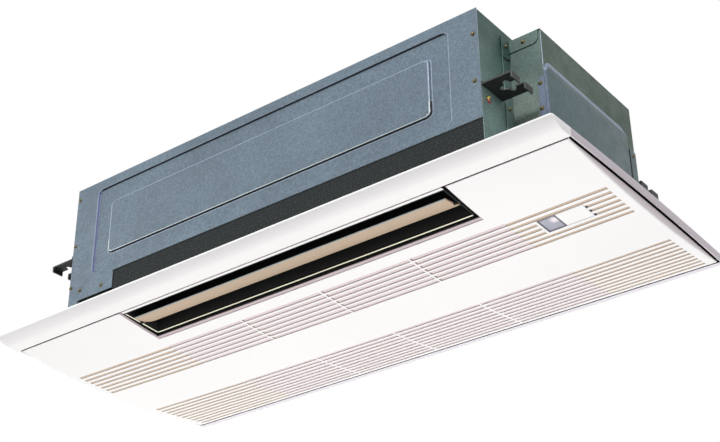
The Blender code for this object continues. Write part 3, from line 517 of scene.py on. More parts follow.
def painted_reflection_below(tree, tint, low, high, gains):
    """A colour times three gains that fall evenly to 1 between two heights above the ceiling: a painted
    reflection, paler towards the foot.
    """
    split = tree.nodes.new("ShaderNodeSeparateXYZ")
    tree.links.new(place_of(tree), split.inputs["Vector"])
    level = mapped(tree, split.outputs["Z"], (ORIGIN[2] + low, ORIGIN[2] + high), (1.0, 0.0))
    gain = blended(tree, level, (1.0, 1.0, 1.0), gains)
    return blended(tree, 1.0, tint, gain, "MULTIPLY")


def zinc_finish(name, tone, cells=170.0, blotch=0.10, grain=0.10, roughness=0.50, metallic=0.35, painted_reflection=None):
    """Zinc sheet: soft blotches, crystals a few millimetres wide and a fine grain.

    painted_reflection is (height, height, gains) for a sheet with a painted reflection that makes it paler
    towards its
    foot: by the gains of red, green and blue below the first height, and not at all above the second.
    """
    def paint(tree, shader):
        soft = [(0.32, scaled(tone, 1 - blotch)), (0.68, scaled(tone, 1 + blotch))]
        clouds = banded(tree, noise(tree, 9.0, 4.0), soft)
        crystals = banded(tree, spangle(tree, cells), [(0.0, (1 - grain,) * 3), (1.0, (1.0,) * 3)])
        speckled = [(0.35, (1 - 2.2 * grain,) * 3), (0.65, (1 + 0.6 * grain,) * 3)]
        fine = banded(tree, noise(tree, 420.0, 3.0), speckled)
        both = blended(tree, 1.0, clouds, crystals, "MULTIPLY")
        tint = blended(tree, 1.0, both, fine, "MULTIPLY")
        if painted_reflection:
            tint = painted_reflection_below(tree, tint, *painted_reflection)
        tree.links.new(tint, shader.inputs["Base Color"])
        dull = spread(tree, noise(tree, 40.0), roughness - 0.08, roughness + 0.08)
        tree.links.new(dull, shader.inputs["Roughness"])
        bumped(tree, shader, noise(tree, 500.0, 2.0), 0.00004)
    return painted(name, roughness, paint, metallic)


def plain_zinc(name, tone, roughness):
    """Zinc that is bent or cut, with hardly any crystals."""
    return zinc_finish(name, tone, 300.0, 0.05, 0.05, roughness)


def blue_zinc():
    return zinc_finish("Blue zinc sheet", tone_of("blue_zinc"), 210.0, 0.10, 0.12)


def green_zinc():
    return zinc_finish("Green zinc sheet", tone_of("green_zinc"), 120.0, 0.34, 0.12)


def end_zinc():
    """Zinc of the end walls, much paler towards its foot by a painted reflection."""
    return zinc_finish("End wall zinc sheet", tone_of("end_zinc"), 120.0, 0.24, 0.12,
                       painted_reflection=(0.122, 0.200, (5.6, 3.2, 3.4)))


def box_zinc():
    """Zinc of the electrical box, paler towards its foot by a painted reflection."""
    return zinc_finish("Box zinc sheet", tone_of("green_zinc"), 120.0, 0.30, 0.12,
                       painted_reflection=(0.095, 0.160, (2.05, 1.7, 1.65)))


def top_zinc():
    """Zinc of the top cover, calmer than the sheets beside it."""
    return zinc_finish("Top zinc sheet", tone_of("green_zinc"), 120.0, 0.12, 0.10)


def cover_zinc():
    return zinc_finish("Cover zinc sheet", tone_of("cover_zinc"), 160.0, 0.08, 0.09)


def bend_highlight_zinc():
    """Paler zinc on bends and rounded edges: a painted highlight."""
    return plain_zinc("Zinc bend", linear(148, 160, 180), 0.4)


def worn_edge_and_highlight():
    """Edges of the hanger plates: the black coating worn thin there, and paler as painted highlight."""
    return zinc_finish("Worn black edge", linear(92, 104, 98), 300.0, 0.15, 0.2, 0.4)


# Pale zinc of cut sheet edges, made paler still as painted highlight along the edges; the hinge pins reuse it
# as plain pale metal.
def cut_edge_and_highlight():
    return plain_zinc("Zinc cut edge", linear(165, 178, 186), 0.35)


def moulded(name, tone, roughness=0.42, change=0.015):
    """Moulded plastic: an even tone with a slight change over the piece and a fine texture."""
    def paint(tree, shader):
        shader.inputs["Specular IOR Level"].default_value = 0.4
        soft = [(0.3, scaled(tone, 1 - change)), (0.7, scaled(tone, 1 + change / 2))]
        tree.links.new(banded(tree, noise(tree, 5.0, 2.0), soft), shader.inputs["Base Color"])
        dull = spread(tree, noise(tree, 120.0), roughness - 0.05, roughness + 0.05)
        tree.links.new(dull, shader.inputs["Roughness"])
        bumped(tree, shader, noise(tree, 1200.0, 2.0), 0.00002)
    return painted(name, roughness, paint)


def white_moulding():
    return moulded("White moulding", tone_of("white"))


def louvre_shade_moulding():
    return moulded("Louvre moulding", tone_of("louvre"), 0.5)


def groove_tan_and_shade():
    return moulded("Groove moulding", tone_of("groove"), 0.55, change=0.05)


def cream_moulding():
    return moulded("Cream moulding", tone_of("cream"), 0.45)


def vane_moulding():
    return moulded("Vane moulding", tone_of("vane"), 0.5, change=0.05)


def black_coating():
    """Black coated steel that is a little worn and greyer in places."""
    def paint(tree, shader):
        tone = tone_of("black")
        clouds = banded(tree, noise(tree, 60.0, 4.0), [(0.35, scaled(tone, 0.7)), (0.75, scaled(tone, 1.7))])
        tree.links.new(clouds, shader.inputs["Base Color"])
        bumped(tree, shader, noise(tree, 700.0), 0.00003)
    return painted("Black coating", 0.55, paint)


def foam_finish():
    """Closed-cell foam: dark cells with paler specks between them."""
    def paint(tree, shader):
        tone = tone_of("foam")
        stops = [(0.38, scaled(tone, 0.35)), (0.54, tone), (0.68, scaled(tone, 3.0))]
        specks = noise(tree, 420.0, 2.0, 0.6)
        tree.links.new(banded(tree, specks, stops), shader.inputs["Base Color"])
        bumped(tree, shader, specks, 0.0003)
    return painted("Lining foam", 0.92, paint)


def dark_moulding():
    return moulded("Dark moulding", linear(58, 62, 64), 0.5, change=0.15)


def screw_finish():
    return zinc_finish("Yellow passivated screw", tone_of("brass"), 900.0, 0.15, 0.2, 0.35, 0.7)


def copper_finish():
    return zinc_finish("Drawn copper", tone_of("copper"), 500.0, 0.08, 0.06, 0.28, 0.9)


def window_finish():
    """Tinted window: grey violet, with a painted highlight round a spot near its right end."""
    def paint(tree, shader):
        tone = tone_of("window")
        clouds = banded(tree, noise(tree, 45.0, 1.0), [(0.35, scaled(tone, 0.85)), (0.7, scaled(tone, 1.2))])
        low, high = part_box("receiver_window")
        reach = tree.nodes.new("ShaderNodeVectorMath")
        reach.operation = "DISTANCE"
        tree.links.new(place_of(tree), reach.inputs[0])
        highlight_spot = (low.x + 0.80 * (high.x - low.x), low.y + 0.30 * (high.y - low.y), low.z)
        reach.inputs[1].default_value = highlight_spot
        glow = mapped(tree, reach.outputs["Value"], (0.002, 0.009), (1.0, 0.0))
        tree.links.new(blended(tree, glow, clouds, linear(226, 212, 220)), shader.inputs["Base Color"])
        shader.inputs["Coat Weight"].default_value = 0.4
        shader.inputs["Coat Roughness"].default_value = 0.08
    return painted("Signal window glass", 0.22, paint)


def filter_finish():
    """Fine filter net: threads in both directions, a millimetre and a half apart."""
    def paint(tree, shader):
        levels = []
        for direction in ("X", "Y"):
            wave = add_node(tree, "ShaderNodeTexWave", bands_direction=direction, Scale=210.0)
            tree.links.new(place_of(tree), wave.inputs["Vector"])
            levels.append(wave.outputs["Fac"])
        net = combined(tree, "MAXIMUM", *levels)
        stops = [(0.45, linear(96, 84, 90)), (0.8, linear(176, 160, 166))]
        tree.links.new(banded(tree, net, stops), shader.inputs["Base Color"])
        bumped(tree, shader, net, 0.0003)
    return painted("Filter net", 0.8, paint)


def lining_finish():
    """Matt black lining of the outlet."""
    def paint(tree, shader):
        stops = [(0.3, linear(8, 10, 13)), (0.7, linear(16, 19, 23))]
        tree.links.new(banded(tree, noise(tree, 160.0), stops), shader.inputs["Base Color"])
        bumped(tree, shader, noise(tree, 700.0), 0.0001)
    return painted("Outlet lining", 0.85, paint)


def black_rubber_and_gap_shade():
    """Matt black: rubber and dark parts where the unit has them, and painted shade in seams, slits and gaps
    where there is only shade.
    """
    return moulded("Gasket rubber", linear(20, 24, 24), 0.9, change=0.2)


def window_border():
    return moulded("Window border", linear(46, 46, 72), 0.35, change=0.1)


def repaint(nodes, finish):
    """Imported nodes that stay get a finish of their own."""
    for node in nodes:
        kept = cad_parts[node]
        for material_slot in kept.material_slots:
            material_slot.link = "OBJECT"
            material_slot.material = finish


# Casing

def field_lines(start, end, slope, radius):
    """Lines through the slopes and corners at both sides of a field."""
    across = np.concatenate([[-0.0011], np.linspace(0.0, slope, 8), [slope + 0.0008],
                             np.linspace(slope + 0.0016, slope + radius, 7)])
    return np.concatenate([start + across, end - across])


# Numbers of an embossed sheet's finishes; the bend and crest ones are painted highlight, the shaded fold
# painted shade and the end fold painted reflection
FACE, CUT, BEND_HIGHLIGHT, CREST_HIGHLIGHT, SHADED_FOLD, END_FOLD_REFLECTION = range(6)


def embossed(name, node, slot, extent, fields, place, finishes, cuts=((), ()), kept=None):
    """A sheet whose depth is deep between two rounded fields: depth times (step of the distance into
    the outer field less step of the distance into the inner one). The height is stretched for that
    distance, so the slopes along a field are steeper than those at its ends. The bends and the lower
    crest are paler as painted highlight, the downward slopes dark as painted shade, and the slope at
    the left end of the sunken field lavender as painted reflection.

    cuts are grid lines that the outline needs, and kept says which cells of the sheet stay.
    """
    casing = settings()[0]
    slope, radius = casing.emboss_end_slope, casing.emboss_radius
    stretch = slope / casing.emboss_slope
    lines = []
    for axis, ratio in ((0, 1.0), (1, stretch)):
        wanted = [field_lines(low[axis], high[axis], slope / ratio, radius / ratio) for low, high in fields]
        lines.append(grid_lines(0.0, extent[axis], 0.030, wanted + [cuts[axis]]))

    def shares(a, b):
        """Share of the slope that each point has crossed, for the outer and the inner field."""
        tall = np.array([1.0, stretch])
        return [field_distance(a, b * stretch, low * tall, high * tall, radius) / slope
                for low, high in fields]

    a, b = np.meshgrid(*lines, indexing="ij")
    outer, inner = shares(a, b)
    depth = casing.emboss_depth * (smooth_step(outer) - smooth_step(inner))
    a, b = cell_middles(*lines)
    outer, inner = shares(a, b)
    lower_half = b < extent[1] / 2
    field_left, field_right = fields[0][0][0] + slope, fields[0][1][0] - slope
    painted_as = np.full(a.shape, FACE)
    # Painted highlight on the bends and the lower crest, painted shade on the downward slopes and painted
    # reflection on the left end slope
    painted_as[((outer > -0.25) & (outer < 0.14)) | ((inner > -0.5) & (inner < 0.0))] = BEND_HIGHLIGHT
    crest_highlight = (inner > 0.86) & (inner < 1.5)
    painted_as[crest_highlight] = np.where(lower_half, CREST_HIGHLIGHT, BEND_HIGHLIGHT)[crest_highlight]
    along = (a > field_left + 0.004) & (a < field_right - 0.004)
    shaded = ((outer > 0.14) & (outer < 0.9) & ~lower_half) | ((inner > 0.0) & (inner < 0.86) & lower_half)
    painted_as[shaded & along] = SHADED_FOLD
    painted_as[(outer > 0.0) & (outer < 1.0) & (a < field_left + 0.001)] = END_FOLD_REFLECTION
    standing = np.ones(a.shape, bool) if kept is None else kept(a, b)
    points, faces, numbers = slab(*lines, depth, depth + casing.sheet, standing, painted_as,
                                  np.full(a.shape, CUT))
    piece(name, [(place(*points.T), faces, numbers)], finishes, "casing", slot, (node,))


def wall_finishes(face):
    """Finishes of an embossed sheet, in the order of their numbers."""
    # The cut edge is pale as bare zinc and painted highlight, the bend and crest paler as painted highlight,
    # the shaded fold dark as painted shade and the end fold lavender as painted reflection.
    return [face, cut_edge_and_highlight(), bend_highlight_zinc(), plain_zinc("Zinc crest", linear(196, 206, 208), 0.45),
            zinc_finish("Shaded fold", linear(26, 34, 40), 300.0, 0.1, 0.1, 0.6, 0.1),
            plain_zinc("End fold", linear(92, 100, 132), 0.5)]


def wall_fields(length, height, foot, top):
    """Lowest and highest corner of a sheet's sunken field and of the raised field in it."""
    casing = settings()[0]
    side, inset = casing.field_side, casing.inner_inset
    rise = casing.inner_rise if foot != side else inset
    return [((side, foot), (length - side, height - top)),
            ((side + inset, foot + rise), (length - side - inset, height - top - inset))]


def make_front_wall():
    """Embossed front sheet, cut back over the foam and left standing on a leg at its left end."""
    casing = settings()[0]
    low, high = node_box("front_wall")
    foam_start = node_box("front_insulation")[0][0] - low[0]
    leg_width, above_foam, above_panel = 0.020, 0.058, 0.029

    def place(a, b, depth):
        return np.stack([low[0] + a, low[1] + depth, low[2] + b], axis=-1)

    def kept(a, b):
        over_foam = (a > foam_start) & (b < above_foam)
        beside_leg = (a > leg_width) & (b < above_panel)
        return ~(over_foam | beside_leg)

    extent = (high[0] - low[0], high[2] - low[2])
    embossed("front_wall_sheet", "front_wall", "blue_zinc_sheet", extent,
             wall_fields(*extent, casing.field_foot, casing.field_top), place, wall_finishes(blue_zinc()),
             ((foam_start, leg_width), (above_foam, above_panel)), kept)


def make_rear_wall_and_top():
    """Embossed rear sheet and top cover."""
    casing = settings()[0]
    low, high = node_box("rear_wall")
    top_low, top_high = node_box("top_cover")

    def rear_place(a, b, depth):
        return np.stack([low[0] + a, high[1] - depth, low[2] + b], axis=-1)

    def top_place(a, b, depth):
        return np.stack([top_low[0] + a, top_low[1] + b, top_high[2] - depth], axis=-1)

    extent = (high[0] - low[0], high[2] - low[2])
    embossed("rear_wall_sheet", "rear_wall", "blue_zinc_sheet", extent,
             wall_fields(*extent, casing.field_foot, casing.field_top), rear_place,
             wall_finishes(blue_zinc()))
    extent = (top_high[0] - top_low[0], top_high[1] - top_low[1])
    embossed("top_cover_sheet", "top_cover", "zinc_sheet", extent,
             wall_fields(*extent, casing.field_side, casing.field_side), top_place, wall_finishes(top_zinc()))


def make_end_walls():
    """End sheets with rounded edges, and the joining tab beside the electrical box with a black strip along
    its rear and lower edge as painted shadow.
    """
    casing = settings()[0]
    for side in ("left", "right"):
        node = side + "_end_wall"
        softened(node + "_sheet", node, [end_zinc()], "casing", "zinc_sheet", casing.edge_softness)
    corner = arc_points((-0.1375, 0.190), 0.008, np.radians(np.linspace(0.0, -90.0, 6)))
    outline = np.concatenate([[[-0.1470, 0.217], [-0.1470, 0.182]], corner[::-1], [[-0.1295, 0.217]]])
    start = node_box("electrical_box_flange")[1][0]
    shadow_shift, shadow_depth = np.array([0.0016, -0.0012]), 0.0003
    tab = carried(along_x(outline, [start, start + casing.sheet]))
    shadow_line = along_x(outline + shadow_shift, [start, start + shadow_depth])
    shade_strip = carried(shadow_line, np.ones(len(outline), int), (1, 1))
    made = piece("end_wall_tab", [tab, shade_strip], [end_zinc(), black_rubber_and_gap_shade()], "casing", "zinc_sheet")
    soften(made, 0.0003)


def make_electrical_box():
    """Box, lid, back flange and strip with rounded edges."""
    rounding = 0.0004
    softened("electrical_box_lid_sheet", "electrical_box_lid", [green_zinc()], "casing", "zinc_sheet",
             rounding)
    softened("electrical_box_flange_sheet", "electrical_box_flange", [end_zinc()], "casing", "zinc_sheet",
             rounding)
    # The faces of the box towards the right end take a darker zinc as painted shade, and the rounded edges of
    # the box and the strip take the paler bend zinc as painted highlight.
    end = zinc_finish("Box end zinc", linear(68, 88, 76), 120.0, 0.2, 0.12)
    box = softened("electrical_box_sheet", "electrical_box", [box_zinc(), end, bend_highlight_zinc()], "casing",
                   "zinc_sheet", 0.0012)
    normals = np.empty(len(box.data.polygons) * 3)
    box.data.polygons.foreach_get("normal", normals)
    box.data.polygons.foreach_set("material_index", (normals[::3] > 0.9).astype(np.int32))
    softened("electrical_box_strip_sheet", "electrical_box_strip", [cover_zinc(), bend_highlight_zinc()], "casing",
             "blue_zinc_sheet", rounding)


def arched(front, back, foot, top, radius):
    """Outline of the end cover: straight up the sides and round both upper corners."""
    arcs = rounded_box((front, foot), (back, top), radius, 8)[16:]
    return np.concatenate([[[front, foot], [back, foot]], arcs])


def make_end_cover():
    """Proud cover: a smooth slope carried round an arched outline, a tab at the front corner and a black
    strip as painted shade in the slit beside the strip.
    """
    low, high = node_box("electrical_box_cover")
    inner = node_box("electrical_box")[1][0] + 0.0003
    proud = high[0] - inner
    top, radius = 0.1655, 0.017
    insets = np.array([0.0, 0.0, 0.0008, 0.0036, 0.0070, 0.0098, 0.0112])
    shares = np.array([0.0, 0.28, 0.30, 0.55, 0.86, 0.97, 1.0])
    outlines = [arched(low[1] + inset * 0.12, high[1] - inset * 0.4, low[2], top - inset,
                       radius - inset * 0.7)
                for inset in insets]
    sections = np.stack([np.column_stack([np.full(len(outline), inner + proud * share), outline])
                         for outline, share in zip(outlines, shares)])
    tab_top, tab_bend, tab_reach, tab_sheet = 0.131, 0.008, 0.0006, 0.0012
    turn = np.radians(np.linspace(0.0, 90.0, 6))
    tab = along_z(rectangle(low[:2], (inner + tab_reach, low[1] + tab_sheet)),
                  np.concatenate([[low[2]], tab_top + tab_bend * np.sin(turn)]))
    tab[1:, [0, 3], 0] += tab_bend * (1 - np.cos(turn))[:, None]
    strip_low, strip_high = node_box("electrical_box_strip")
    shade_low = (strip_high[0], strip_low[1] - 0.0004)
    shade_high = (strip_high[0] + 0.0002, strip_low[1] + 0.0028)
    shade_strip = along_z(rectangle(shade_low, shade_high), [strip_low[2], strip_high[2] - 0.0015])
    # Along the top the slope is paler and bluer as painted highlight and down the front darker as painted
    # shade; the tab is paler and bluer as painted highlight, and the black strip in the slit is painted
    # shade.
    slope = np.zeros((len(insets) - 1, sections.shape[1]), int)
    slope[1:, 3:] = 1
    slope[1:, -1] = 4
    finishes = [cover_zinc(), plain_zinc("Cover slope zinc", linear(122, 137, 156), 0.45),
                zinc_finish("Cover tab zinc", linear(114, 127, 150), 200.0, 0.1, 0.1), black_rubber_and_gap_shade(),
                plain_zinc("Cover front slope zinc", linear(82, 93, 112), 0.6)]
    parts = [carried(sections, slope), carried(tab, np.full(4, 2)), carried(shade_strip, np.full(4, 3))]
    piece("end_cover_sheet", parts, finishes, "casing", "blue_zinc_sheet", ("electrical_box_cover",),
          sharp=50.0)


def make_hangers():
    """Bent hanger plates with rounded edges."""
    for end in ("front", "rear"):
        for side in ("left", "right"):
            node = "hanger_" + end + "_" + side
            softened(node + "_plate", node, [black_coating(), worn_edge_and_highlight()], "casing", "black_steel", 0.0005)


# X and Z of the screws on the front sheet and on the front of the electrical box
FRONT_SCREWS = ((-0.3735, 0.1280), (-0.3529, 0.0452), (-0.3059, 0.0401), (-0.3745, 0.0554), (-0.3726, 0.2117),
                (0.3756, 0.1899), (0.3743, 0.1163))
BOX_SCREWS = ((0.4072, 0.2053), (0.4283, 0.1295), (0.4277, 0.0905))
# Distance from the right end wall, Y and Z of the screws there
WALL_SCREWS = ((0.0027, -0.1376, 0.2028), (0.0015, -0.1376, 0.1024))
# Y and Z of the screw on the strip and of the earth screw
STRIP_SCREW = (0.1110, 0.1319)
EARTH_SCREW = (-0.1898, 0.0919)


def screw_head(place, axis, radius):
    """A pan head on a thin washer: the profile of its radius over its height, turned about its axis."""
    profile = np.array([[0.0, 0.0001], [0.0, 1.35], [0.0003, 1.35], [0.0004, 1.0], [0.0012, 0.95],
                        [0.0019, 0.7], [0.0023, 0.35], [0.0024, 0.0001]])
    profile = np.column_stack([profile[:, 0], profile[:, 1] * radius])
    return carried(turned(profile, place, axis, 14))


def make_screws():
    """Screw heads of the casing and its box, and the earth screw: a wire end carried round half a circle."""
    radius = settings()[0].screw_radius
    forward, outward = (0.0, -1.0, 0.0), (1.0, 0.0, 0.0)
    front = node_box("front_wall")[0][1]
    box_front = node_box("electrical_box")[0][1] - 0.0015
    wall = node_box("right_end_wall")[1][0]
    strip = node_box("electrical_box_strip")[1][0]
    parts = [screw_head((x, front, z), forward, radius * 0.9) for x, z in FRONT_SCREWS]
    parts += [screw_head((x, box_front, z), forward, radius * 0.9) for x, z in BOX_SCREWS]
    parts += [screw_head((wall + lift, y, z), outward, radius * 0.9) for lift, y, z in WALL_SCREWS]
    parts.append(screw_head((strip, *STRIP_SCREW), outward, radius * 0.8))
    piece("casing_screws", parts, [screw_finish()], "casing", "zinc_sheet")
    y, z = EARTH_SCREW
    bend, wire_radius = 0.004, 0.0013
    turn = np.linspace(0.0, math.pi, 9)
    path = np.stack([np.full(9, wall + bend), y - bend * np.sin(turn), z - bend + bend * np.cos(turn)],
                    axis=-1)
    circle = np.insert(arc_points((0.0, 0.0), wire_radius, np.arange(8) * math.pi / 4), 1, 0.0, axis=1)
    wire = carried(path[:, None, :] + circle[None], np.repeat([1, 2], 4)[:, None], (1, 2))
    parts = [screw_head((wall, y, z), outward, radius * 0.8), wire]
    finishes = [screw_finish(), moulded("Earth wire yellow", linear(214, 196, 70), 0.45),
                moulded("Earth wire red", linear(176, 60, 60), 0.45)]
    piece("earth_screw", parts, finishes, "casing", "zinc_sheet")


def make_linings():
    """Foam linings, drain pan and fan deck, with softened edges."""
    linings = (("front_insulation", "front_insulation_foam"), ("rear_insulation", "rear_insulation_foam"),
               ("drain_pan", "drain_pan_moulding"))
    for node, name in linings:
        softened(name, node, [foam_finish()], "casing", "dark_foam", 0.0008)
    softened("fan_deck_sheet", "fan_deck", [green_zinc()], "casing", "zinc_sheet", 0.0003)


def make_fans():
    """Ribbed fan housings: a half round section carried along X, whose radius is a little smaller between
    the ribs; and the motor between them, a stepped profile turned about X."""
    ribs, rib_share = 8, 0.05
    for side in ("left", "right"):
        name = "fan_housing_" + side
        low, high = node_box(name)
        radius = (high[1] - low[1]) / 2
        centre_y, centre_z = (low[1] + high[1]) / 2, low[2] + radius
        xs = np.linspace(low[0], high[0], 97)
        wave = np.cos((xs - low[0]) / (high[0] - low[0]) * 2 * math.pi * ribs)
        reach = 1.0 - rib_share * (wave < 0.6)
        angles = np.radians(np.linspace(180.0, 360.0, 25))
        sections = np.empty((len(xs), 27, 3))
        sections[..., 0] = xs[:, None]
        sections[:, :25, 1] = centre_y + radius * reach[:, None] * np.cos(angles)
        sections[:, :25, 2] = centre_z + radius * reach[:, None] * np.sin(angles)
        sections[:, 25, 1] = centre_y + radius * reach
        sections[:, 26, 1] = centre_y - radius * reach
        sections[:, 25:, 2] = high[2]
        piece(name + "_shell", [carried(sections)], [dark_moulding()], "casing", "dark_plastic", (name,))
    low, high = node_box("fan_motor")
    radius = (high[2] - low[2]) / 2
    centre = ((low[0] + high[0]) / 2, (low[1] + high[1]) / 2, (low[2] + high[2]) / 2)
    half = (high[0] - low[0]) / 2
    profile = [(-half, 0.0001), (-half, 0.010), (-half + 0.012, 0.011), (-half + 0.013, radius - 0.004),
               (-half + 0.018, radius), (half - 0.018, radius), (half - 0.013, radius - 0.004),
               (half - 0.012, 0.011), (half, 0.010), (half, 0.0001)]
    piece("fan_motor_body", [carried(turned(profile, centre, (1.0, 0.0, 0.0), 32))], [green_zinc()], "casing",
          "zinc_sheet", ("fan_motor",))


def pipe_axis(node):
    """Root, radius and length of a pipe end that leaves the casing to the left."""
    low, high = node_box(node)
    root = (high[0], (low[1] + high[1]) / 2, (low[2] + high[2]) / 2)
    return root, (high[2] - low[2]) / 2, high[0] - low[0]


def make_pipe_ends():
    """Copper stubs with flare nuts and a drain socket: profiles turned about X."""
    leftward = (-1.0, 0.0, 0.0)
    for node, nut in (("gas_pipe_end", 1.45), ("liquid_pipe_end", 1.7)):
        root, radius, length = pipe_axis(node)
        bore, bore_end = radius * 0.8, length - 0.010
        tube = [(0.0, 0.0001), (0.0, radius), (length, radius), (length, bore), (bore_end, bore),
                (bore_end, 0.0001)]
        shell = [(0.008, radius * 1.001), (0.008, radius * nut * 0.93), (0.0095, radius * nut),
                 (0.0195, radius * nut), (0.021, radius * nut * 0.93), (0.021, radius * 1.001)]
        parts = [carried(turned(tube, root, leftward, 24)), carried(turned(shell, root, leftward, 6))]
        piece(node + "_flare", parts, [copper_finish()], "casing", "copper_tube", (node,))
    root, radius, length = pipe_axis("drain_pipe_end")
    profile = [(0.0, 0.0001), (0.0, radius), (0.004, radius), (0.0045, radius * 0.93),
               (length - 0.004, radius * 0.93), (length - 0.0035, radius), (length, radius * 0.98),
               (length, radius * 0.8), (0.006, radius * 0.8), (0.006, 0.0001)]
    piece("drain_pipe_socket", [carried(turned(profile, root, leftward, 28))], [dark_moulding()], "casing",
          "dark_plastic", ("drain_pipe_end",))


# Outlet and vane

def path_round(low, high, radius, steps=5):
    """Points and inward normals of a rounded rectangle, for sections carried round a mouth."""
    outline = rounded_box(low, high, radius, steps)
    inward = (np.repeat(corner_centres(low, high, radius), steps, axis=0) - outline) / radius
    return outline, inward


def mouth_ring(low, high, profile, lip):
    """A section of (offset inwards, height above the lip) carried round the mouth.

    lip gives the lip's height over Y, and 20 mm above it the section is level all round.
    """
    outline, inward = path_round(low, high, 0.003)
    profile = np.asarray(profile, float)
    spots = outline[:, None, :] + inward[:, None, :] * profile[None, :, :1]
    sections = np.empty((len(outline), len(profile), 3))
    sections[..., :2] = spots
    height = lip(spots[..., 1])
    share = np.clip(profile[None, :, 1] / 0.02, 0.0, 1.0)
    sections[..., 2] = height * (1 - share) + profile[None, :, 1] + share * height.mean()
    return sections


def make_outlet():
    """Duct with a thin lip that slopes down to the back, lined with dark foam."""
    low, high = node_box("outlet_duct")
    depth = high[1] - low[1]
    wall, inset, lining_inset = 0.0025, 0.0014, 0.0026

    def lip(y):
        """Height of the lip, which falls evenly from front to back."""
        return -0.0125 - 0.0055 * (y - low[1]) / depth

    def roof(lower, upper, finish):
        """Flat plate across the duct between two heights."""
        xs, ys = (np.array([low[axis] + inset, high[axis] - inset]) for axis in (0, 1))
        cell = np.full((1, 1), finish)
        return slab(xs, ys, np.full((2, 2), lower), np.full((2, 2), upper), np.ones((1, 1), bool), cell, cell)

    top = high[2] - lip((low[1] + high[1]) / 2)
    section = [(0.0, 0.0002), (0.0, top), (wall, top), (wall, 0.0002), (0.0023, 0.0), (0.0002, 0.0)]
    shell = mouth_ring(low[:2], high[:2], section, lip)
    sides = np.ones(shell.shape[:2], int)
    sides[14:, 3:] = 0
    piece("outlet_duct_shell", [ring(shell, sides), roof(high[2] - 0.002, high[2], 1)],
          [cream_moulding(), black_rubber_and_gap_shade()], "casing", "cream_plastic", ("outlet_duct",))
    foam = [(0.0, 0.0025), (0.0, top - 0.0025), (0.0015, top - 0.0025), (0.0015, 0.0030), (0.0012, 0.0025)]
    lining = mouth_ring(low[:2] + lining_inset, high[:2] - lining_inset, foam, lip)
    piece("outlet_lining", [ring(lining), roof(high[2] - 0.0040, high[2] - 0.0021, 0)], [lining_finish()],
          "casing", "dark_foam")


def make_vane():
    """Blade bent to an arc, with a grey painted highlight along its front edge, a thin rear edge and a pin at
    each end.
    """
    radius, front_y, front_z, half = 0.082, -0.172, -0.0165, 0.0011
    pin_radius, pin_length = 0.0029, 0.0077
    low, high = node_box("air_vane")
    angles = np.radians(np.linspace(0.0, 30.0, 25))
    thickness = 1.0 - 0.6 * np.exp(-(angles / 0.03) ** 2) - 0.4 * smooth_step((angles - 0.43) / 0.08)
    arcs = []
    for reach, order in ((radius + half * thickness, 1), (radius - half * thickness, -1)):
        arc = np.stack([front_y + reach * np.sin(angles), front_z + radius - reach * np.cos(angles)], axis=-1)
        arcs.append(arc[::order])
    section = np.concatenate(arcs)
    numbers = np.zeros(len(section), int)
    # The front edge is grey as painted highlight.
    numbers[[0, 49]] = 1
    numbers[22:26] = 2
    left, right = low[0] + pin_length, high[0] - pin_length
    parts = [carried(along_x(section, [left, left + 0.0006, right - 0.0006, right]), numbers)]
    middle = math.radians(15.0)
    pivot = (front_y + radius * math.sin(middle), front_z + radius * (1 - math.cos(middle)))
    pin = arc_points(pivot, pin_radius, np.radians(np.arange(20) * 18.0))
    for start, end in ((low[0], left + 0.0003), (right - 0.0003, high[0])):
        parts.append(carried(along_x(pin, [start, end]), np.full(20, 3)))
    finishes = [vane_moulding(), moulded("Vane bead", linear(150, 158, 156), 0.4),
                moulded("Vane rear edge", linear(226, 216, 170), 0.45), black_rubber_and_gap_shade()]
    piece("air_vane_blade", parts, finishes, "vane", "tan_vane", ("air_vane",))


# Panel and grille

def crown(x, y):
    """Height of the grille's face: an arc over the depth that is fuller at half length."""
    panel = settings()[1]
    front, back = -HALF_DEPTH + panel.front_strip, HALF_DEPTH - panel.rear_strip
    across = (y - (front + back) / 2) / ((back - front) / 2)
    swell = panel.end_crown + panel.middle_crown * (1 - (x / HALF_LENGTH) ** 2)
    return -panel.seam_drop - swell * np.maximum(0.0, 1 - across ** 2)


def bowed(points, corners=False):
    """Pulls in the corners of the ends: by the bow times the square of the share of the half depth.

    Near a corner of the panel the square outline is drawn onto an arc.
    """
    panel = settings()[1]
    moved = points.copy()
    x, y = points[:, 0], points[:, 1]
    if corners:
        radius = np.where(y < 0, panel.front_corner, panel.rear_corner)
        deep_x = np.clip((radius - (HALF_LENGTH - np.abs(x))) / radius, 0.0, 1.0)
        deep_y = np.clip((radius - (HALF_DEPTH - np.abs(y))) / radius, 0.0, 1.0)
        longest = np.maximum(deep_x, deep_y)
        pull = 1 - longest / np.maximum(np.hypot(deep_x, deep_y), 1e-9)
        moved[:, 0] -= np.sign(x) * pull * deep_x * radius
        moved[:, 1] -= np.sign(y) * pull * deep_y * radius
    share = np.clip((np.abs(x) - HALF_LENGTH + 0.050) / 0.050, 0.0, 1.0)
    moved[:, 0] -= np.sign(x) * share * panel.bow * (y / HALF_DEPTH) ** 2
    return moved


def quarter(share):
    """Quarter of an ellipse: 0 at 0, 1 at 1, upright at 0 and level at 1."""
    return np.sqrt(np.clip(1 - (1 - np.clip(share, 0.0, 1.0)) ** 2, 0.0, 1.0))


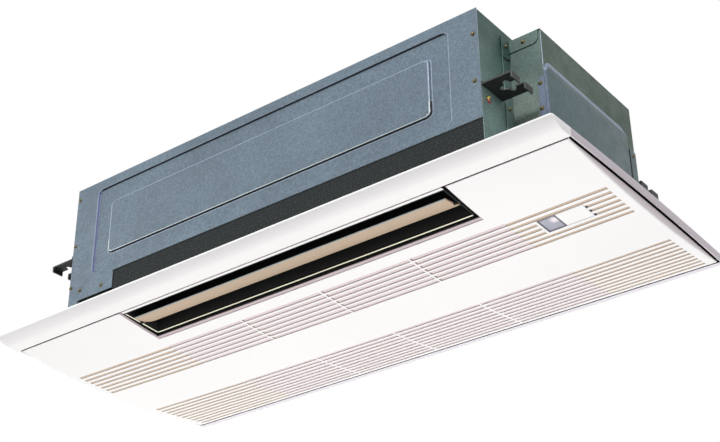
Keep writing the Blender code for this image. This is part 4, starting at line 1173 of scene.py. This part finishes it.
def make_panel_frame():
    """Strips, rim and web as one solid: the drop below the ceiling is a function of the plan."""
    panel = settings()[1]
    duct_low, duct_high = node_box("outlet_duct")
    duct = (duct_low[0] - 0.0003, duct_high[0] + 0.0003, duct_low[1] - 0.0003, duct_high[1] + 0.0003)
    intake = (-0.290, 0.340, -0.086, 0.176)
    rim = HALF_LENGTH - panel.rim_wall
    front, back = -HALF_DEPTH + panel.front_strip, HALF_DEPTH - panel.rear_strip
    groove = (front + 0.0005, front + 0.0017)
    rim_edge, seam_shade_width, cove_depth = 0.0009, 0.012, 0.024
    steps = np.array([0.0, 0.0001, 0.0003, 0.0006, 0.001, 0.0016, 0.0024, 0.0034, 0.0046, 0.006, 0.0075,
                      0.009, panel.rim_wall - rim_edge, panel.rim_wall - 0.0003])
    fall = np.array([0.0, 0.0001, 0.0003, 0.0007, 0.0014, 0.003, 0.0055, 0.008, 0.011, 0.0145, 0.018, 0.021,
                     cove_depth])
    x_wanted = [-HALF_LENGTH + steps, HALF_LENGTH - steps, edge_lines(-rim, rim),
                edge_lines(*duct[:2], -STEP), intake[:2],
                [seam_shade_width - rim, rim - seam_shade_width, duct[0] - seam_shade_width, duct[1] + seam_shade_width]]
    y_wanted = [-HALF_DEPTH + fall, HALF_DEPTH - fall[:8], HALF_DEPTH - np.arange(1, 7) * 0.0015,
                edge_lines(front, back), edge_lines(*groove), duct[2:], intake[2:],
                [front + seam_shade_width, back - seam_shade_width, duct[3] + seam_shade_width]]
    xs = grid_lines(-HALF_LENGTH, HALF_LENGTH, 0.05, x_wanted)
    ys = grid_lines(-HALF_DEPTH, HALF_DEPTH, 0.03, y_wanted)
    x, y = np.meshgrid(xs, ys, indexing="ij")
    to_front, to_back, to_end = y + HALF_DEPTH, HALF_DEPTH - y, HALF_LENGTH - np.abs(x)
    cove = 1 - (1 - np.clip(to_front / cove_depth, 0, 1)) ** 1.7
    front_drop = 0.0018 + 0.0012 * quarter(to_front / 0.0014) + 0.0082 * cove + 0.0012 * to_front / 0.042
    back_drop = 0.0055 + 0.0055 * quarter(to_back / 0.006) + 0.0010 * np.clip((to_back - 0.006) / 0.009, 0, 1)
    end_drop = 0.0090 + 0.0042 * quarter(to_end / 0.0034)
    half_wall = panel.rim_wall / 2
    rim_round = 1 - np.sqrt(np.clip(1 - ((to_end - half_wall) / half_wall) ** 2, 0, 1))
    lip_step = np.where((y > groove[0]) & (y < groove[1]), -0.001, 0.001)
    in_lip = (x >= duct[0]) & (x <= duct[1]) & (y > front) & (y <= duct[2])
    drop = np.full(x.shape, 0.003)
    drop = np.where(to_end <= panel.rim_wall + 1e-9, panel.rim_depth - 0.0008 * rim_round, drop)
    drop = np.where(in_lip, panel.seam_drop + lip_step, drop)
    drop = np.where(y <= front + 1e-9, np.minimum(front_drop, end_drop), drop)
    drop = np.where(y >= back - 1e-9, np.minimum(back_drop, end_drop), drop)
    x, y = cell_middles(xs, ys)
    to_end = HALF_LENGTH - np.abs(x)
    strip = (y < front) | (y > back) | (to_end < panel.rim_wall)
    lip = in_box(x, y, (*duct[:2], front, duct[2]))
    deep = (np.abs(x) < rim - seam_shade_width) & (y > front + seam_shade_width) & (y < back - seam_shade_width)
    deep &= (x < duct[0] - seam_shade_width) | (x > duct[1] + seam_shade_width) | (y > duct[3] + seam_shade_width)
    # Within the shade width of a seam the web is black as painted shade in the seams. The lip groove is
    # darker as painted shade, the cove has a faint lavender tint as painted light, and the rims and the rear
    # strip are darker and lavender as painted shade.
    white, black, lip_groove_shade, cove_painted_light, rim_shade, rear_strip = range(6)
    finish = np.where(strip | lip | deep, white, black)
    finish[lip & (y > groove[0]) & (y < groove[1])] = lip_groove_shade
    finish[(y > 0.0012 - HALF_DEPTH) & (y < 0.0150 - HALF_DEPTH)] = cove_painted_light
    finish[y > back] = rear_strip
    finish[(to_end < panel.rim_wall - rim_edge) & (y > front)] = rim_shade
    outer_walls = np.where((to_end < STEP) & (y > front), rim_shade, white)
    kept = ~(in_box(x, y, duct) | in_box(x, y, intake))
    points, faces, numbers = slab(xs, ys, -drop, np.zeros(drop.shape), kept, finish, outer_walls)
    parts = [(bowed(points, True), faces, numbers)] + hinge_lugs()
    finishes = [white_moulding(), black_rubber_and_gap_shade(), moulded("Lip groove moulding", linear(150, 132, 124), 0.6),
                moulded("Cove moulding", linear(250, 247, 250)),
                moulded("Rim moulding", linear(205, 196, 204)),
                moulded("Rear strip moulding", linear(229, 225, 232))]
    piece("panel_frame_moulding", parts, finishes, "casing", "white_panel", ("panel_frame",), sharp=40.0)


# Hinges of the grille: Y and Z of the pins, their middles along X, the radius of the bore round them,
# and from where to where the straps have room beside a middle
HINGE = (0.212, -0.0109)
HINGE_PLACES = (-0.330, 0.380)
HINGE_BORE = 0.0013
HINGE_CLEAR = (0.0033, 0.0088)


def hinge_lugs():
    """Two bored straps under the web at each hinge: an outline round the pin with a hole in it."""
    strap, width, top = 0.0016, 0.004, -0.0025
    foot = arc_points(HINGE, strap, np.radians(np.linspace(180.0, 360.0, 13)))
    head = np.stack([np.linspace(HINGE[0] + strap, HINGE[0] - strap, 11), np.full(11, top)], axis=-1)
    outer = np.concatenate([foot, head])
    bore = arc_points(HINGE, HINGE_BORE, np.arctan2(outer[:, 1] - HINGE[1], outer[:, 0] - HINGE[0]))
    return [bored(outer, bore, middle + start, middle + start + width)
            for middle in HINGE_PLACES for start in (-0.0076, 0.0036)]


def slot_rows():
    """Middle Y of each row of slots, in two bands."""
    return np.concatenate([-0.077 + 0.0115 * np.arange(7), 0.0965 + 0.012 * np.arange(10)])


# Ends of the four columns of slots along X, and the rib between them
SLOT_ENDS = np.array([-0.280, -0.131, 0.020, 0.176, 0.332])
SLOT_RIB = 0.003
# Distance of a blind groove behind the middle of its row, and the ends of the grooves along X
GROOVE_OFFSET = 0.0012
LEFT_GROOVE = (-0.482, SLOT_ENDS[0] + SLOT_RIB / 2)
RIGHT_GROOVE = (SLOT_ENDS[-1] - SLOT_RIB / 2, 0.480)


def make_grille():
    """Crowned sheet with turned-up edges, louvred slots, blind grooves, a notch and a receiver opening.

    The face is the crown plus a recess: a rounding at the edges, a ramp in each slot and a flat floor in
    each groove. The inside is a sheet's thickness above the crown, 1.2 mm above a ramp, 0.3 mm above the
    face at the straps, and level along the turned-up edges.
    """
    panel = settings()[1]
    front = -HALF_DEPTH + panel.front_strip + panel.front_seam
    back = HALF_DEPTH - panel.rear_strip - panel.rear_seam
    end = HALF_LENGTH - panel.rim_wall - panel.end_seam
    duct_low, duct_high = node_box("outlet_duct")
    notch = (duct_low[0] - 0.0042, duct_high[0] + 0.0042, duct_high[1] + 0.0042)
    plate = (0.3665, 0.4355, -0.0610, -0.0270)
    sheet, ledge, side = panel.grille_sheet, panel.ledge, panel.side_ledge
    wall, rounding, front_rounding = 0.0022, 0.0022, 0.0006
    slot_mark, groove_mark = 0.0024, 0.0040
    rows = slot_rows()
    slot_start, slot_end = rows - panel.slot_width / 2, rows + panel.slot_width / 2
    ramp_end = slot_end - panel.slot_gap
    groove_start = rows + GROOVE_OFFSET - panel.groove_width / 2
    groove_end = groove_start + panel.groove_width
    columns = np.stack([SLOT_ENDS[:-1] + SLOT_RIB / 2, SLOT_ENDS[1:] - SLOT_RIB / 2], axis=1)
    round_off = np.array([0.0, 0.0001, 0.0003, 0.0006, 0.001, 0.0015, rounding])
    split = (plate[0] - 0.0032, plate[1] + 0.0028)
    x_wanted = [-end + round_off, end - round_off, notch[0] - round_off, notch[1] + round_off, plate[:2],
                edge_lines(-end + wall, end - wall), edge_lines(notch[0] - wall, notch[1] + wall, -STEP),
                edge_lines(notch[0] - side, notch[1] + side, -STEP), edge_lines(*columns.T),
                columns[:, 0] + slot_mark, edge_lines(*LEFT_GROOVE), edge_lines(*RIGHT_GROOVE),
                edge_lines(*split, -STEP), [split[1] - groove_mark]]
    for middle in HINGE_PLACES:
        x_wanted += [edge_lines(middle - HINGE_CLEAR[1], middle - HINGE_CLEAR[0], -STEP),
                     edge_lines(middle + HINGE_CLEAR[0], middle + HINGE_CLEAR[1], -STEP)]
    strap_front = HINGE[0] - 0.0033
    y_wanted = [front + round_off, back - round_off, notch[2] + round_off, plate[2:],
                edge_lines(front + wall, back - wall), [strap_front - STEP, strap_front],
                [notch[2] + wall, notch[2] + wall + STEP, notch[2] + ledge, notch[2] + ledge + STEP],
                slot_start, ramp_end, slot_end, edge_lines(groove_start, groove_end)]
    xs = grid_lines(-end, end, 0.025, x_wanted)
    ys = grid_lines(front, back, 0.008, y_wanted)

    def within(value, starts, ends, slack=1e-7):
        """Whether each value lies in one of the intervals, and the number of that interval."""
        found = (value[..., None] > starts - slack) & (value[..., None] < ends + slack)
        return found.any(axis=-1), found.argmax(axis=-1)

    def in_notch(a, b):
        return (a > notch[0]) & (a < notch[1]) & (b < notch[2])

    def on_ledge(a, b, slack):
        """Whether a point is on the ledge round the notch, widened by the slack."""
        beside = np.maximum(notch[0] - a, a - notch[1]) < side + slack
        return beside & (b - notch[2] < ledge + slack) & ~in_notch(a, b)

    def beside_pins(a, slack):
        """Whether a point is beside a hinge pin, where the straps of the panel frame stand."""
        away = np.abs(a[..., None] - HINGE_PLACES)
        return ((away > HINGE_CLEAR[0] - slack) & (away < HINGE_CLEAR[1] + slack)).any(axis=-1)

    def edge_distance(a, b):
        """Distance to the nearest edge of the grille or of its notch, measured square to it."""
        outer = np.minimum(np.minimum(end - np.abs(a), b - front), back - b)
        to_notch = np.maximum(np.maximum(np.maximum(notch[0] - a, a - notch[1]), b - notch[2]), 0.0)
        return np.minimum(outer, to_notch)

    def in_groove(a, b, inset):
        """Whether a point is in a blind groove; three of them stop short of the receiver on both sides."""
        in_row, number = within(b, groove_start + inset, groove_end - inset)
        left = (a > LEFT_GROOVE[0] + inset - 1e-7) & (a < LEFT_GROOVE[1] - inset + 1e-7)
        right = (a > RIGHT_GROOVE[0] + inset - 1e-7) & (a < RIGHT_GROOVE[1] - inset + 1e-7)
        broken = (number >= 2) & (number <= 4) & (a > split[0] - inset + 1e-7) & (a < split[1] + inset - 1e-7)
        return in_row & (left | (right & ~broken))

    x, y = np.meshgrid(xs, ys, indexing="ij")
    distance = edge_distance(x, y)
    to_front = y - front
    recess = np.where(to_front < distance + 1e-7, front_rounding * (1 - quarter(to_front / front_rounding)),
                      rounding * (1 - quarter(distance / rounding)))
    recess = np.where(on_ledge(x, y, 1e-7), np.maximum(recess, 0.0011), recess)
    in_column, _ = within(x, columns[:, 0] + STEP, columns[:, 1] - STEP)
    in_ramp, row = within(y, slot_start, ramp_end)
    share = (y - slot_start[row]) / (ramp_end - slot_start)[row]
    recess = np.where(in_column & in_ramp, panel.louvre_rise * share, recess)
    recess = np.where(in_groove(x, y, STEP), panel.groove_depth, recess)
    face = crown(x, y)
    low = face + recess
    low = np.where(end - np.abs(x) < 1e-7, np.maximum(low, -0.0113), low)
    high = face + np.where(in_column & in_ramp, recess + 0.0012, sheet)
    high = np.where(distance <= wall + 1e-9, -0.0095, high)
    high = np.where(beside_pins(x, 1e-7) & (y > strap_front - 1e-7), low + 0.0003, high)

    x, y = cell_middles(xs, ys)
    column_cell, column = within(x, columns[:, 0], columns[:, 1])
    slot_cell, row = within(y, slot_start, slot_end)
    slot_cell &= column_cell
    opening = slot_cell & (y > ramp_end[row])
    opening |= in_box(x, y, plate) | in_notch(x, y) | (beside_pins(x, 0.0) & (y > back - wall))
    # The louvres, slot starts, ledge and end faces are tinted darker as painted shade, and the groove floors
    # are tan with painted shade.
    white, louvre, groove, black, slot_wall_shade, end_face_shade, ledge_shade, slot_start_shade = range(8)
    ramp_cell = slot_cell & (y < ramp_end[row])
    finish = np.full(x.shape, white)
    finish[ramp_cell] = louvre
    finish[ramp_cell & (x < columns[column, 0] + slot_mark) & (column > 0) & (row < 7)] = slot_start_shade
    finish[in_groove(x, y, 0.0)] = groove
    groove_row, row = within(y, groove_start, groove_end)
    # Black marks where three grooves start again after the receiver: painted shade of holes.
    hole_shade = (x > split[1] - groove_mark) & (x < split[1])
    finish[hole_shade & groove_row & (row >= 2) & (row <= 4)] = black
    finish[on_ledge(x, y, STEP)] = ledge_shade
    finish[end - np.abs(x) < STEP] = end_face_shade
    # Walls along the outer edges and the notch are black as painted shade in the seams, and the slot walls
    # pinkish as painted shade.
    wall_finish = np.where(edge_distance(x, y) < wall, black, slot_wall_shade)
    points, faces, numbers = slab(xs, ys, low, high, ~opening, finish, wall_finish)

    circle = np.radians(np.arange(20) * 18.0)
    sleeve, bore = arc_points(HINGE, 0.002, circle), arc_points(HINGE, HINGE_BORE, circle)
    parts = [(bowed(points), faces, numbers)]
    parts += [bored(sleeve, bore, middle - 0.003, middle + 0.003) for middle in HINGE_PLACES]
    finishes = [white_moulding(), louvre_shade_moulding(), groove_tan_and_shade(), black_rubber_and_gap_shade(),
                moulded("Slot wall moulding", linear(238, 224, 226), 0.5),
                moulded("End face moulding", linear(232, 222, 226), 0.5),
                moulded("Ledge moulding", linear(204, 190, 195), 0.5),
                moulded("Slot start moulding", linear(142, 118, 100), 0.6)]
    piece("intake_grille_moulding", parts, finishes, "grille", "white_panel", ("intake_grille",), sharp=40.0)


def make_receiver():
    """Window with a dark border and a blank plate: blocks between two copies of the crown."""
    sheet = settings()[1].grille_sheet
    borders = (("receiver_window_glass", (0.3672, 0.3938, -0.0603, -0.0277), 0.0018, "receiver_window",
                [window_finish(), window_border()], "grey_window"),
               ("receiver_plate_cover", (0.3943, 0.4350, -0.0604, -0.0276), 0.0003, "receiver_plate",
                [white_moulding(), moulded("Plate edge", linear(206, 206, 214), 0.5)], "white_panel"))
    for name, (left, right, front, back), border, node, finishes, slot in borders:
        def edge_room(x, y):
            """Distance to the nearest edge of the block."""
            return np.minimum(np.minimum(x - left, right - x), np.minimum(y - front, back - y))

        xs = grid_lines(left, right, 0.004, edge_lines(left + border, right - border))
        ys = grid_lines(front, back, 0.004, edge_lines(front + border, back - border))
        x, y = np.meshgrid(xs, ys, indexing="ij")
        face = crown(x, y)
        low = face + np.where(edge_room(x, y) > border + 1e-7, 0.0003, 0.0)
        edge = edge_room(*cell_middles(xs, ys)) < border
        points, faces, numbers = slab(xs, ys, low, face + sheet, np.ones(edge.shape, bool), edge.astype(int))
        piece(name, [(bowed(points), faces, numbers)], finishes, "grille", slot, (node,), sharp=20.0)


def make_filters():
    """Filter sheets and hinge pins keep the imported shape."""
    repaint(("air_filter_left", "air_filter_right"), filter_finish())
    repaint(("hinge_pin_left", "hinge_pin_right"), cut_edge_and_highlight())


# Stage

def standing(side, up, back, place):
    """Matrix of an object from its three axes and its place."""
    return Matrix([[side[k], up[k], back[k], place[k]] for k in range(3)] + [[0.0, 0.0, 0.0, 1.0]])


def area_lamp(name, place, target, extent, energy, tone):
    """A rectangular lamp at a place that shines at a target, both in the unit's axes."""
    lamp = bpy.data.lights.new(name, "AREA")
    lamp.shape = "RECTANGLE"
    lamp.size, lamp.size_y = extent
    lamp.energy = energy
    lamp.color = tone
    made = new_object(name, lamp)
    place = np.array(place) + ORIGIN
    target = np.array(target) + ORIGIN
    back = (place - target) / np.linalg.norm(place - target)
    side = np.cross((0.0, 0.0, 1.0), back)
    side /= np.linalg.norm(side)
    made.matrix_world = standing(side, np.cross(back, side), back, place)
    made.visible_camera = False


def make_floor():
    """Pale floor far below, that glows a little where the camera sees it."""
    reach, height = 14.0, -4.2

    def paint(tree, shader):
        pale = banded(tree, noise(tree, 0.6), [(0.3, (0.86,) * 3), (0.7, (0.90,) * 3)])
        tree.links.new(pale, shader.inputs["Base Color"])
        shader.inputs["Emission Color"].default_value = (1.0, 1.0, 1.0, 1.0)
        paths = tree.nodes.new("ShaderNodeLightPath")
        glow = combined(tree, "MULTIPLY", paths.outputs["Is Camera Ray"], 0.2)
        tree.links.new(glow, shader.inputs["Emission Strength"])

    corners = np.column_stack([rectangle((-reach, -reach), (reach, reach)), np.full(4, height)])
    mesh = bpy.data.meshes.new("floor")
    mesh.from_pydata(corners.tolist(), [], [[0, 1, 2, 3]])
    mesh.materials.append(painted("Pale floor", 0.9, paint))
    floor = new_object("floor", mesh)


def make_surround():
    """Surround that is white to the camera and in reflections, and gives less light than that."""
    world = bpy.data.worlds.new("White surround")
    bpy.context.scene.world = world
    world.use_nodes = True
    tree = world.node_tree
    background = tree.nodes["Background"]
    background.inputs["Color"].default_value = (1.0, 1.0, 1.0, 1.0)
    paths = tree.nodes.new("ShaderNodeLightPath").outputs
    seen = combined(tree, "MAXIMUM", paths["Is Camera Ray"], paths["Is Transmission Ray"])
    shiny = combined(tree, "MAXIMUM", seen, paths["Is Glossy Ray"])
    tree.links.new(mapped(tree, shiny, (0.0, 1.0), (0.45, 1.0)), background.inputs["Strength"])


def make_stage():
    """Pale floor, white surround, soft lamps and the camera."""
    bpy.context.scene.view_settings.view_transform = "Standard"
    make_floor()
    make_surround()
    area_lamp("upper key", (0.80, -2.35, 1.70), (0.0, -0.1, 0.1), (0.9, 0.9), 52.0, (1.0, 1.0, 1.0))
    area_lamp("lower fill", (-1.1, 1.2, -2.1), (-0.2, 0.0, 0.0), (2.4, 1.6), 46.0, (1.0, 0.99, 0.97))
    area_lamp("left front fill", (-1.5, -1.7, 0.4), (-0.3, -0.2, 0.05), (1.0, 1.0), 11.0, (1.0, 1.0, 1.0))
    area_lamp("low right fill", (1.9, 0.5, -1.3), (0.4, 0.0, 0.0), (1.0, 1.0), 10.0, (1.0, 0.98, 0.99))
    area_lamp("far side fill", (-2.4, 0.6, 0.9), (-0.2, 0.0, 0.1), (1.4, 1.4), 22.0, (1.0, 1.0, 1.0))
    make_camera()


def make_camera():
    """Camera at the photograph's place, turned by its azimuth, elevation and roll in degrees."""
    place = (0.76582, -1.290941, -1.029175)
    azimuth, elevation, roll = (math.radians(value) for value in (37.434, -29.423, -0.648))
    data = bpy.data.cameras.new("camera")
    data.sensor_width = 36.0
    data.sensor_fit = "HORIZONTAL"
    data.lens = 70.416
    data.clip_end = 60.0
    back = np.array([math.sin(azimuth) * math.cos(elevation), -math.cos(azimuth) * math.cos(elevation),
                     math.sin(elevation)])
    side = np.cross(-back, (0.0, 0.0, 1.0))
    side /= np.linalg.norm(side)
    up = np.cross(side, -back)
    right = math.cos(roll) * side + math.sin(roll) * up
    above = -math.sin(roll) * side + math.cos(roll) * up
    camera = new_object("camera", data)
    camera.matrix_world = standing(right, above, back, place)
    bpy.context.scene.camera = camera


# Operators

class INDOOR_UNIT_OT_front_wall(Operator):
    """Embossed front sheet of the casing"""
    bl_idname = "indoor_unit.front_wall"
    bl_label = "Front Wall"
    bl_options = {"REGISTER", "UNDO"}

    def execute(self, context):
        make_front_wall()
        return {"FINISHED"}


class INDOOR_UNIT_OT_rear_wall(Operator):
    """Embossed rear sheet and top cover"""
    bl_idname = "indoor_unit.rear_wall"
    bl_label = "Rear Wall and Top"
    bl_options = {"REGISTER", "UNDO"}

    def execute(self, context):
        make_rear_wall_and_top()
        return {"FINISHED"}


class INDOOR_UNIT_OT_end_walls(Operator):
    """Plain end sheets and the joining tab"""
    bl_idname = "indoor_unit.end_walls"
    bl_label = "End Walls"
    bl_options = {"REGISTER", "UNDO"}

    def execute(self, context):
        make_end_walls()
        return {"FINISHED"}


class INDOOR_UNIT_OT_electrical_box(Operator):
    """Box, lid, flange and strip"""
    bl_idname = "indoor_unit.electrical_box"
    bl_label = "Electrical Box"
    bl_options = {"REGISTER", "UNDO"}

    def execute(self, context):
        make_electrical_box()
        return {"FINISHED"}


class INDOOR_UNIT_OT_end_cover(Operator):
    """Proud cover of the electrical box"""
    bl_idname = "indoor_unit.end_cover"
    bl_label = "End Cover"
    bl_options = {"REGISTER", "UNDO"}

    def execute(self, context):
        make_end_cover()
        return {"FINISHED"}


class INDOOR_UNIT_OT_hangers(Operator):
    """Four bent plates with slots"""
    bl_idname = "indoor_unit.hangers"
    bl_label = "Hanger Brackets"
    bl_options = {"REGISTER", "UNDO"}

    def execute(self, context):
        make_hangers()
        return {"FINISHED"}


class INDOOR_UNIT_OT_screws(Operator):
    """Screw heads of the casing"""
    bl_idname = "indoor_unit.screws"
    bl_label = "Screws"
    bl_options = {"REGISTER", "UNDO"}

    def execute(self, context):
        make_screws()
        return {"FINISHED"}


class INDOOR_UNIT_OT_linings(Operator):
    """Foam linings, drain pan and fan deck"""
    bl_idname = "indoor_unit.linings"
    bl_label = "Linings"
    bl_options = {"REGISTER", "UNDO"}

    def execute(self, context):
        make_linings()
        return {"FINISHED"}


class INDOOR_UNIT_OT_fans(Operator):
    """Fan housings and motor"""
    bl_idname = "indoor_unit.fans"
    bl_label = "Fans"
    bl_options = {"REGISTER", "UNDO"}

    def execute(self, context):
        make_fans()
        return {"FINISHED"}


class INDOOR_UNIT_OT_pipe_ends(Operator):
    """Refrigerant and drain pipe ends"""
    bl_idname = "indoor_unit.pipe_ends"
    bl_label = "Pipe Ends"
    bl_options = {"REGISTER", "UNDO"}

    def execute(self, context):
        make_pipe_ends()
        return {"FINISHED"}


class INDOOR_UNIT_OT_outlet(Operator):
    """Outlet duct and its lining"""
    bl_idname = "indoor_unit.outlet"
    bl_label = "Air Outlet"
    bl_options = {"REGISTER", "UNDO"}

    def execute(self, context):
        make_outlet()
        return {"FINISHED"}


class INDOOR_UNIT_OT_vane(Operator):
    """Curved blade on its pins"""
    bl_idname = "indoor_unit.vane"
    bl_label = "Air Vane"
    bl_options = {"REGISTER", "UNDO"}

    def execute(self, context):
        make_vane()
        return {"FINISHED"}


class INDOOR_UNIT_OT_panel_frame(Operator):
    """Strips, rim, web and hinge lugs"""
    bl_idname = "indoor_unit.panel_frame"
    bl_label = "Panel Frame"
    bl_options = {"REGISTER", "UNDO"}

    def execute(self, context):
        make_panel_frame()
        return {"FINISHED"}


class INDOOR_UNIT_OT_grille(Operator):
    """Crowned grille with slots and grooves"""
    bl_idname = "indoor_unit.grille"
    bl_label = "Intake Grille"
    bl_options = {"REGISTER", "UNDO"}

    def execute(self, context):
        make_grille()
        return {"FINISHED"}


class INDOOR_UNIT_OT_receiver(Operator):
    """Signal window and blank plate"""
    bl_idname = "indoor_unit.receiver"
    bl_label = "Receiver"
    bl_options = {"REGISTER", "UNDO"}

    def execute(self, context):
        make_receiver()
        return {"FINISHED"}


class INDOOR_UNIT_OT_filters(Operator):
    """Filter nets and hinge pins"""
    bl_idname = "indoor_unit.filters"
    bl_label = "Filters and Pins"
    bl_options = {"REGISTER", "UNDO"}

    def execute(self, context):
        make_filters()
        return {"FINISHED"}


class INDOOR_UNIT_OT_stage(Operator):
    """Floor, surround, lamps and camera"""
    bl_idname = "indoor_unit.stage"
    bl_label = "Stage"
    bl_options = {"REGISTER", "UNDO"}

    def execute(self, context):
        make_stage()
        return {"FINISHED"}


OPERATORS = (
    INDOOR_UNIT_OT_front_wall,
    INDOOR_UNIT_OT_rear_wall,
    INDOOR_UNIT_OT_end_walls,
    INDOOR_UNIT_OT_electrical_box,
    INDOOR_UNIT_OT_end_cover,
    INDOOR_UNIT_OT_hangers,
    INDOOR_UNIT_OT_screws,
    INDOOR_UNIT_OT_linings,
    INDOOR_UNIT_OT_fans,
    INDOOR_UNIT_OT_pipe_ends,
    INDOOR_UNIT_OT_outlet,
    INDOOR_UNIT_OT_vane,
    INDOOR_UNIT_OT_panel_frame,
    INDOOR_UNIT_OT_grille,
    INDOOR_UNIT_OT_receiver,
    INDOOR_UNIT_OT_filters,
    INDOOR_UNIT_OT_stage,
)


class INDOOR_UNIT_PT_pieces(Panel):
    bl_label = "Indoor Unit"
    bl_idname = "INDOOR_UNIT_PT_pieces"
    bl_space_type = "VIEW_3D"
    bl_region_type = "UI"
    bl_category = "Indoor Unit"

    def draw(self, context):
        for operator in OPERATORS:
            self.layout.operator(operator.bl_idname)
        for group in settings():
            for name in group.bl_rna.properties.keys():
                if name not in ("rna_type", "name"):
                    self.layout.prop(group, name)


CLASSES = (IndoorUnitCasing, IndoorUnitPanel, IndoorUnitFinish, *OPERATORS, INDOOR_UNIT_PT_pieces)


def register():
    for registered in CLASSES:
        bpy.utils.register_class(registered)
    bpy.types.Scene.indoor_unit_casing = PointerProperty(type=IndoorUnitCasing)
    bpy.types.Scene.indoor_unit_panel = PointerProperty(type=IndoorUnitPanel)
    bpy.types.Scene.indoor_unit_finish = PointerProperty(type=IndoorUnitFinish)


def unregister():
    del bpy.types.Scene.indoor_unit_casing
    del bpy.types.Scene.indoor_unit_panel
    del bpy.types.Scene.indoor_unit_finish
    for registered in reversed(CLASSES):
        bpy.utils.unregister_class(registered)


def main():
    """Registers the classes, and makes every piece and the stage."""
    register()
    for operator in OPERATORS:
        name = operator.bl_idname.split(".")[1]
        getattr(bpy.ops.indoor_unit, name)()


if __name__ == "__main__":
    main()
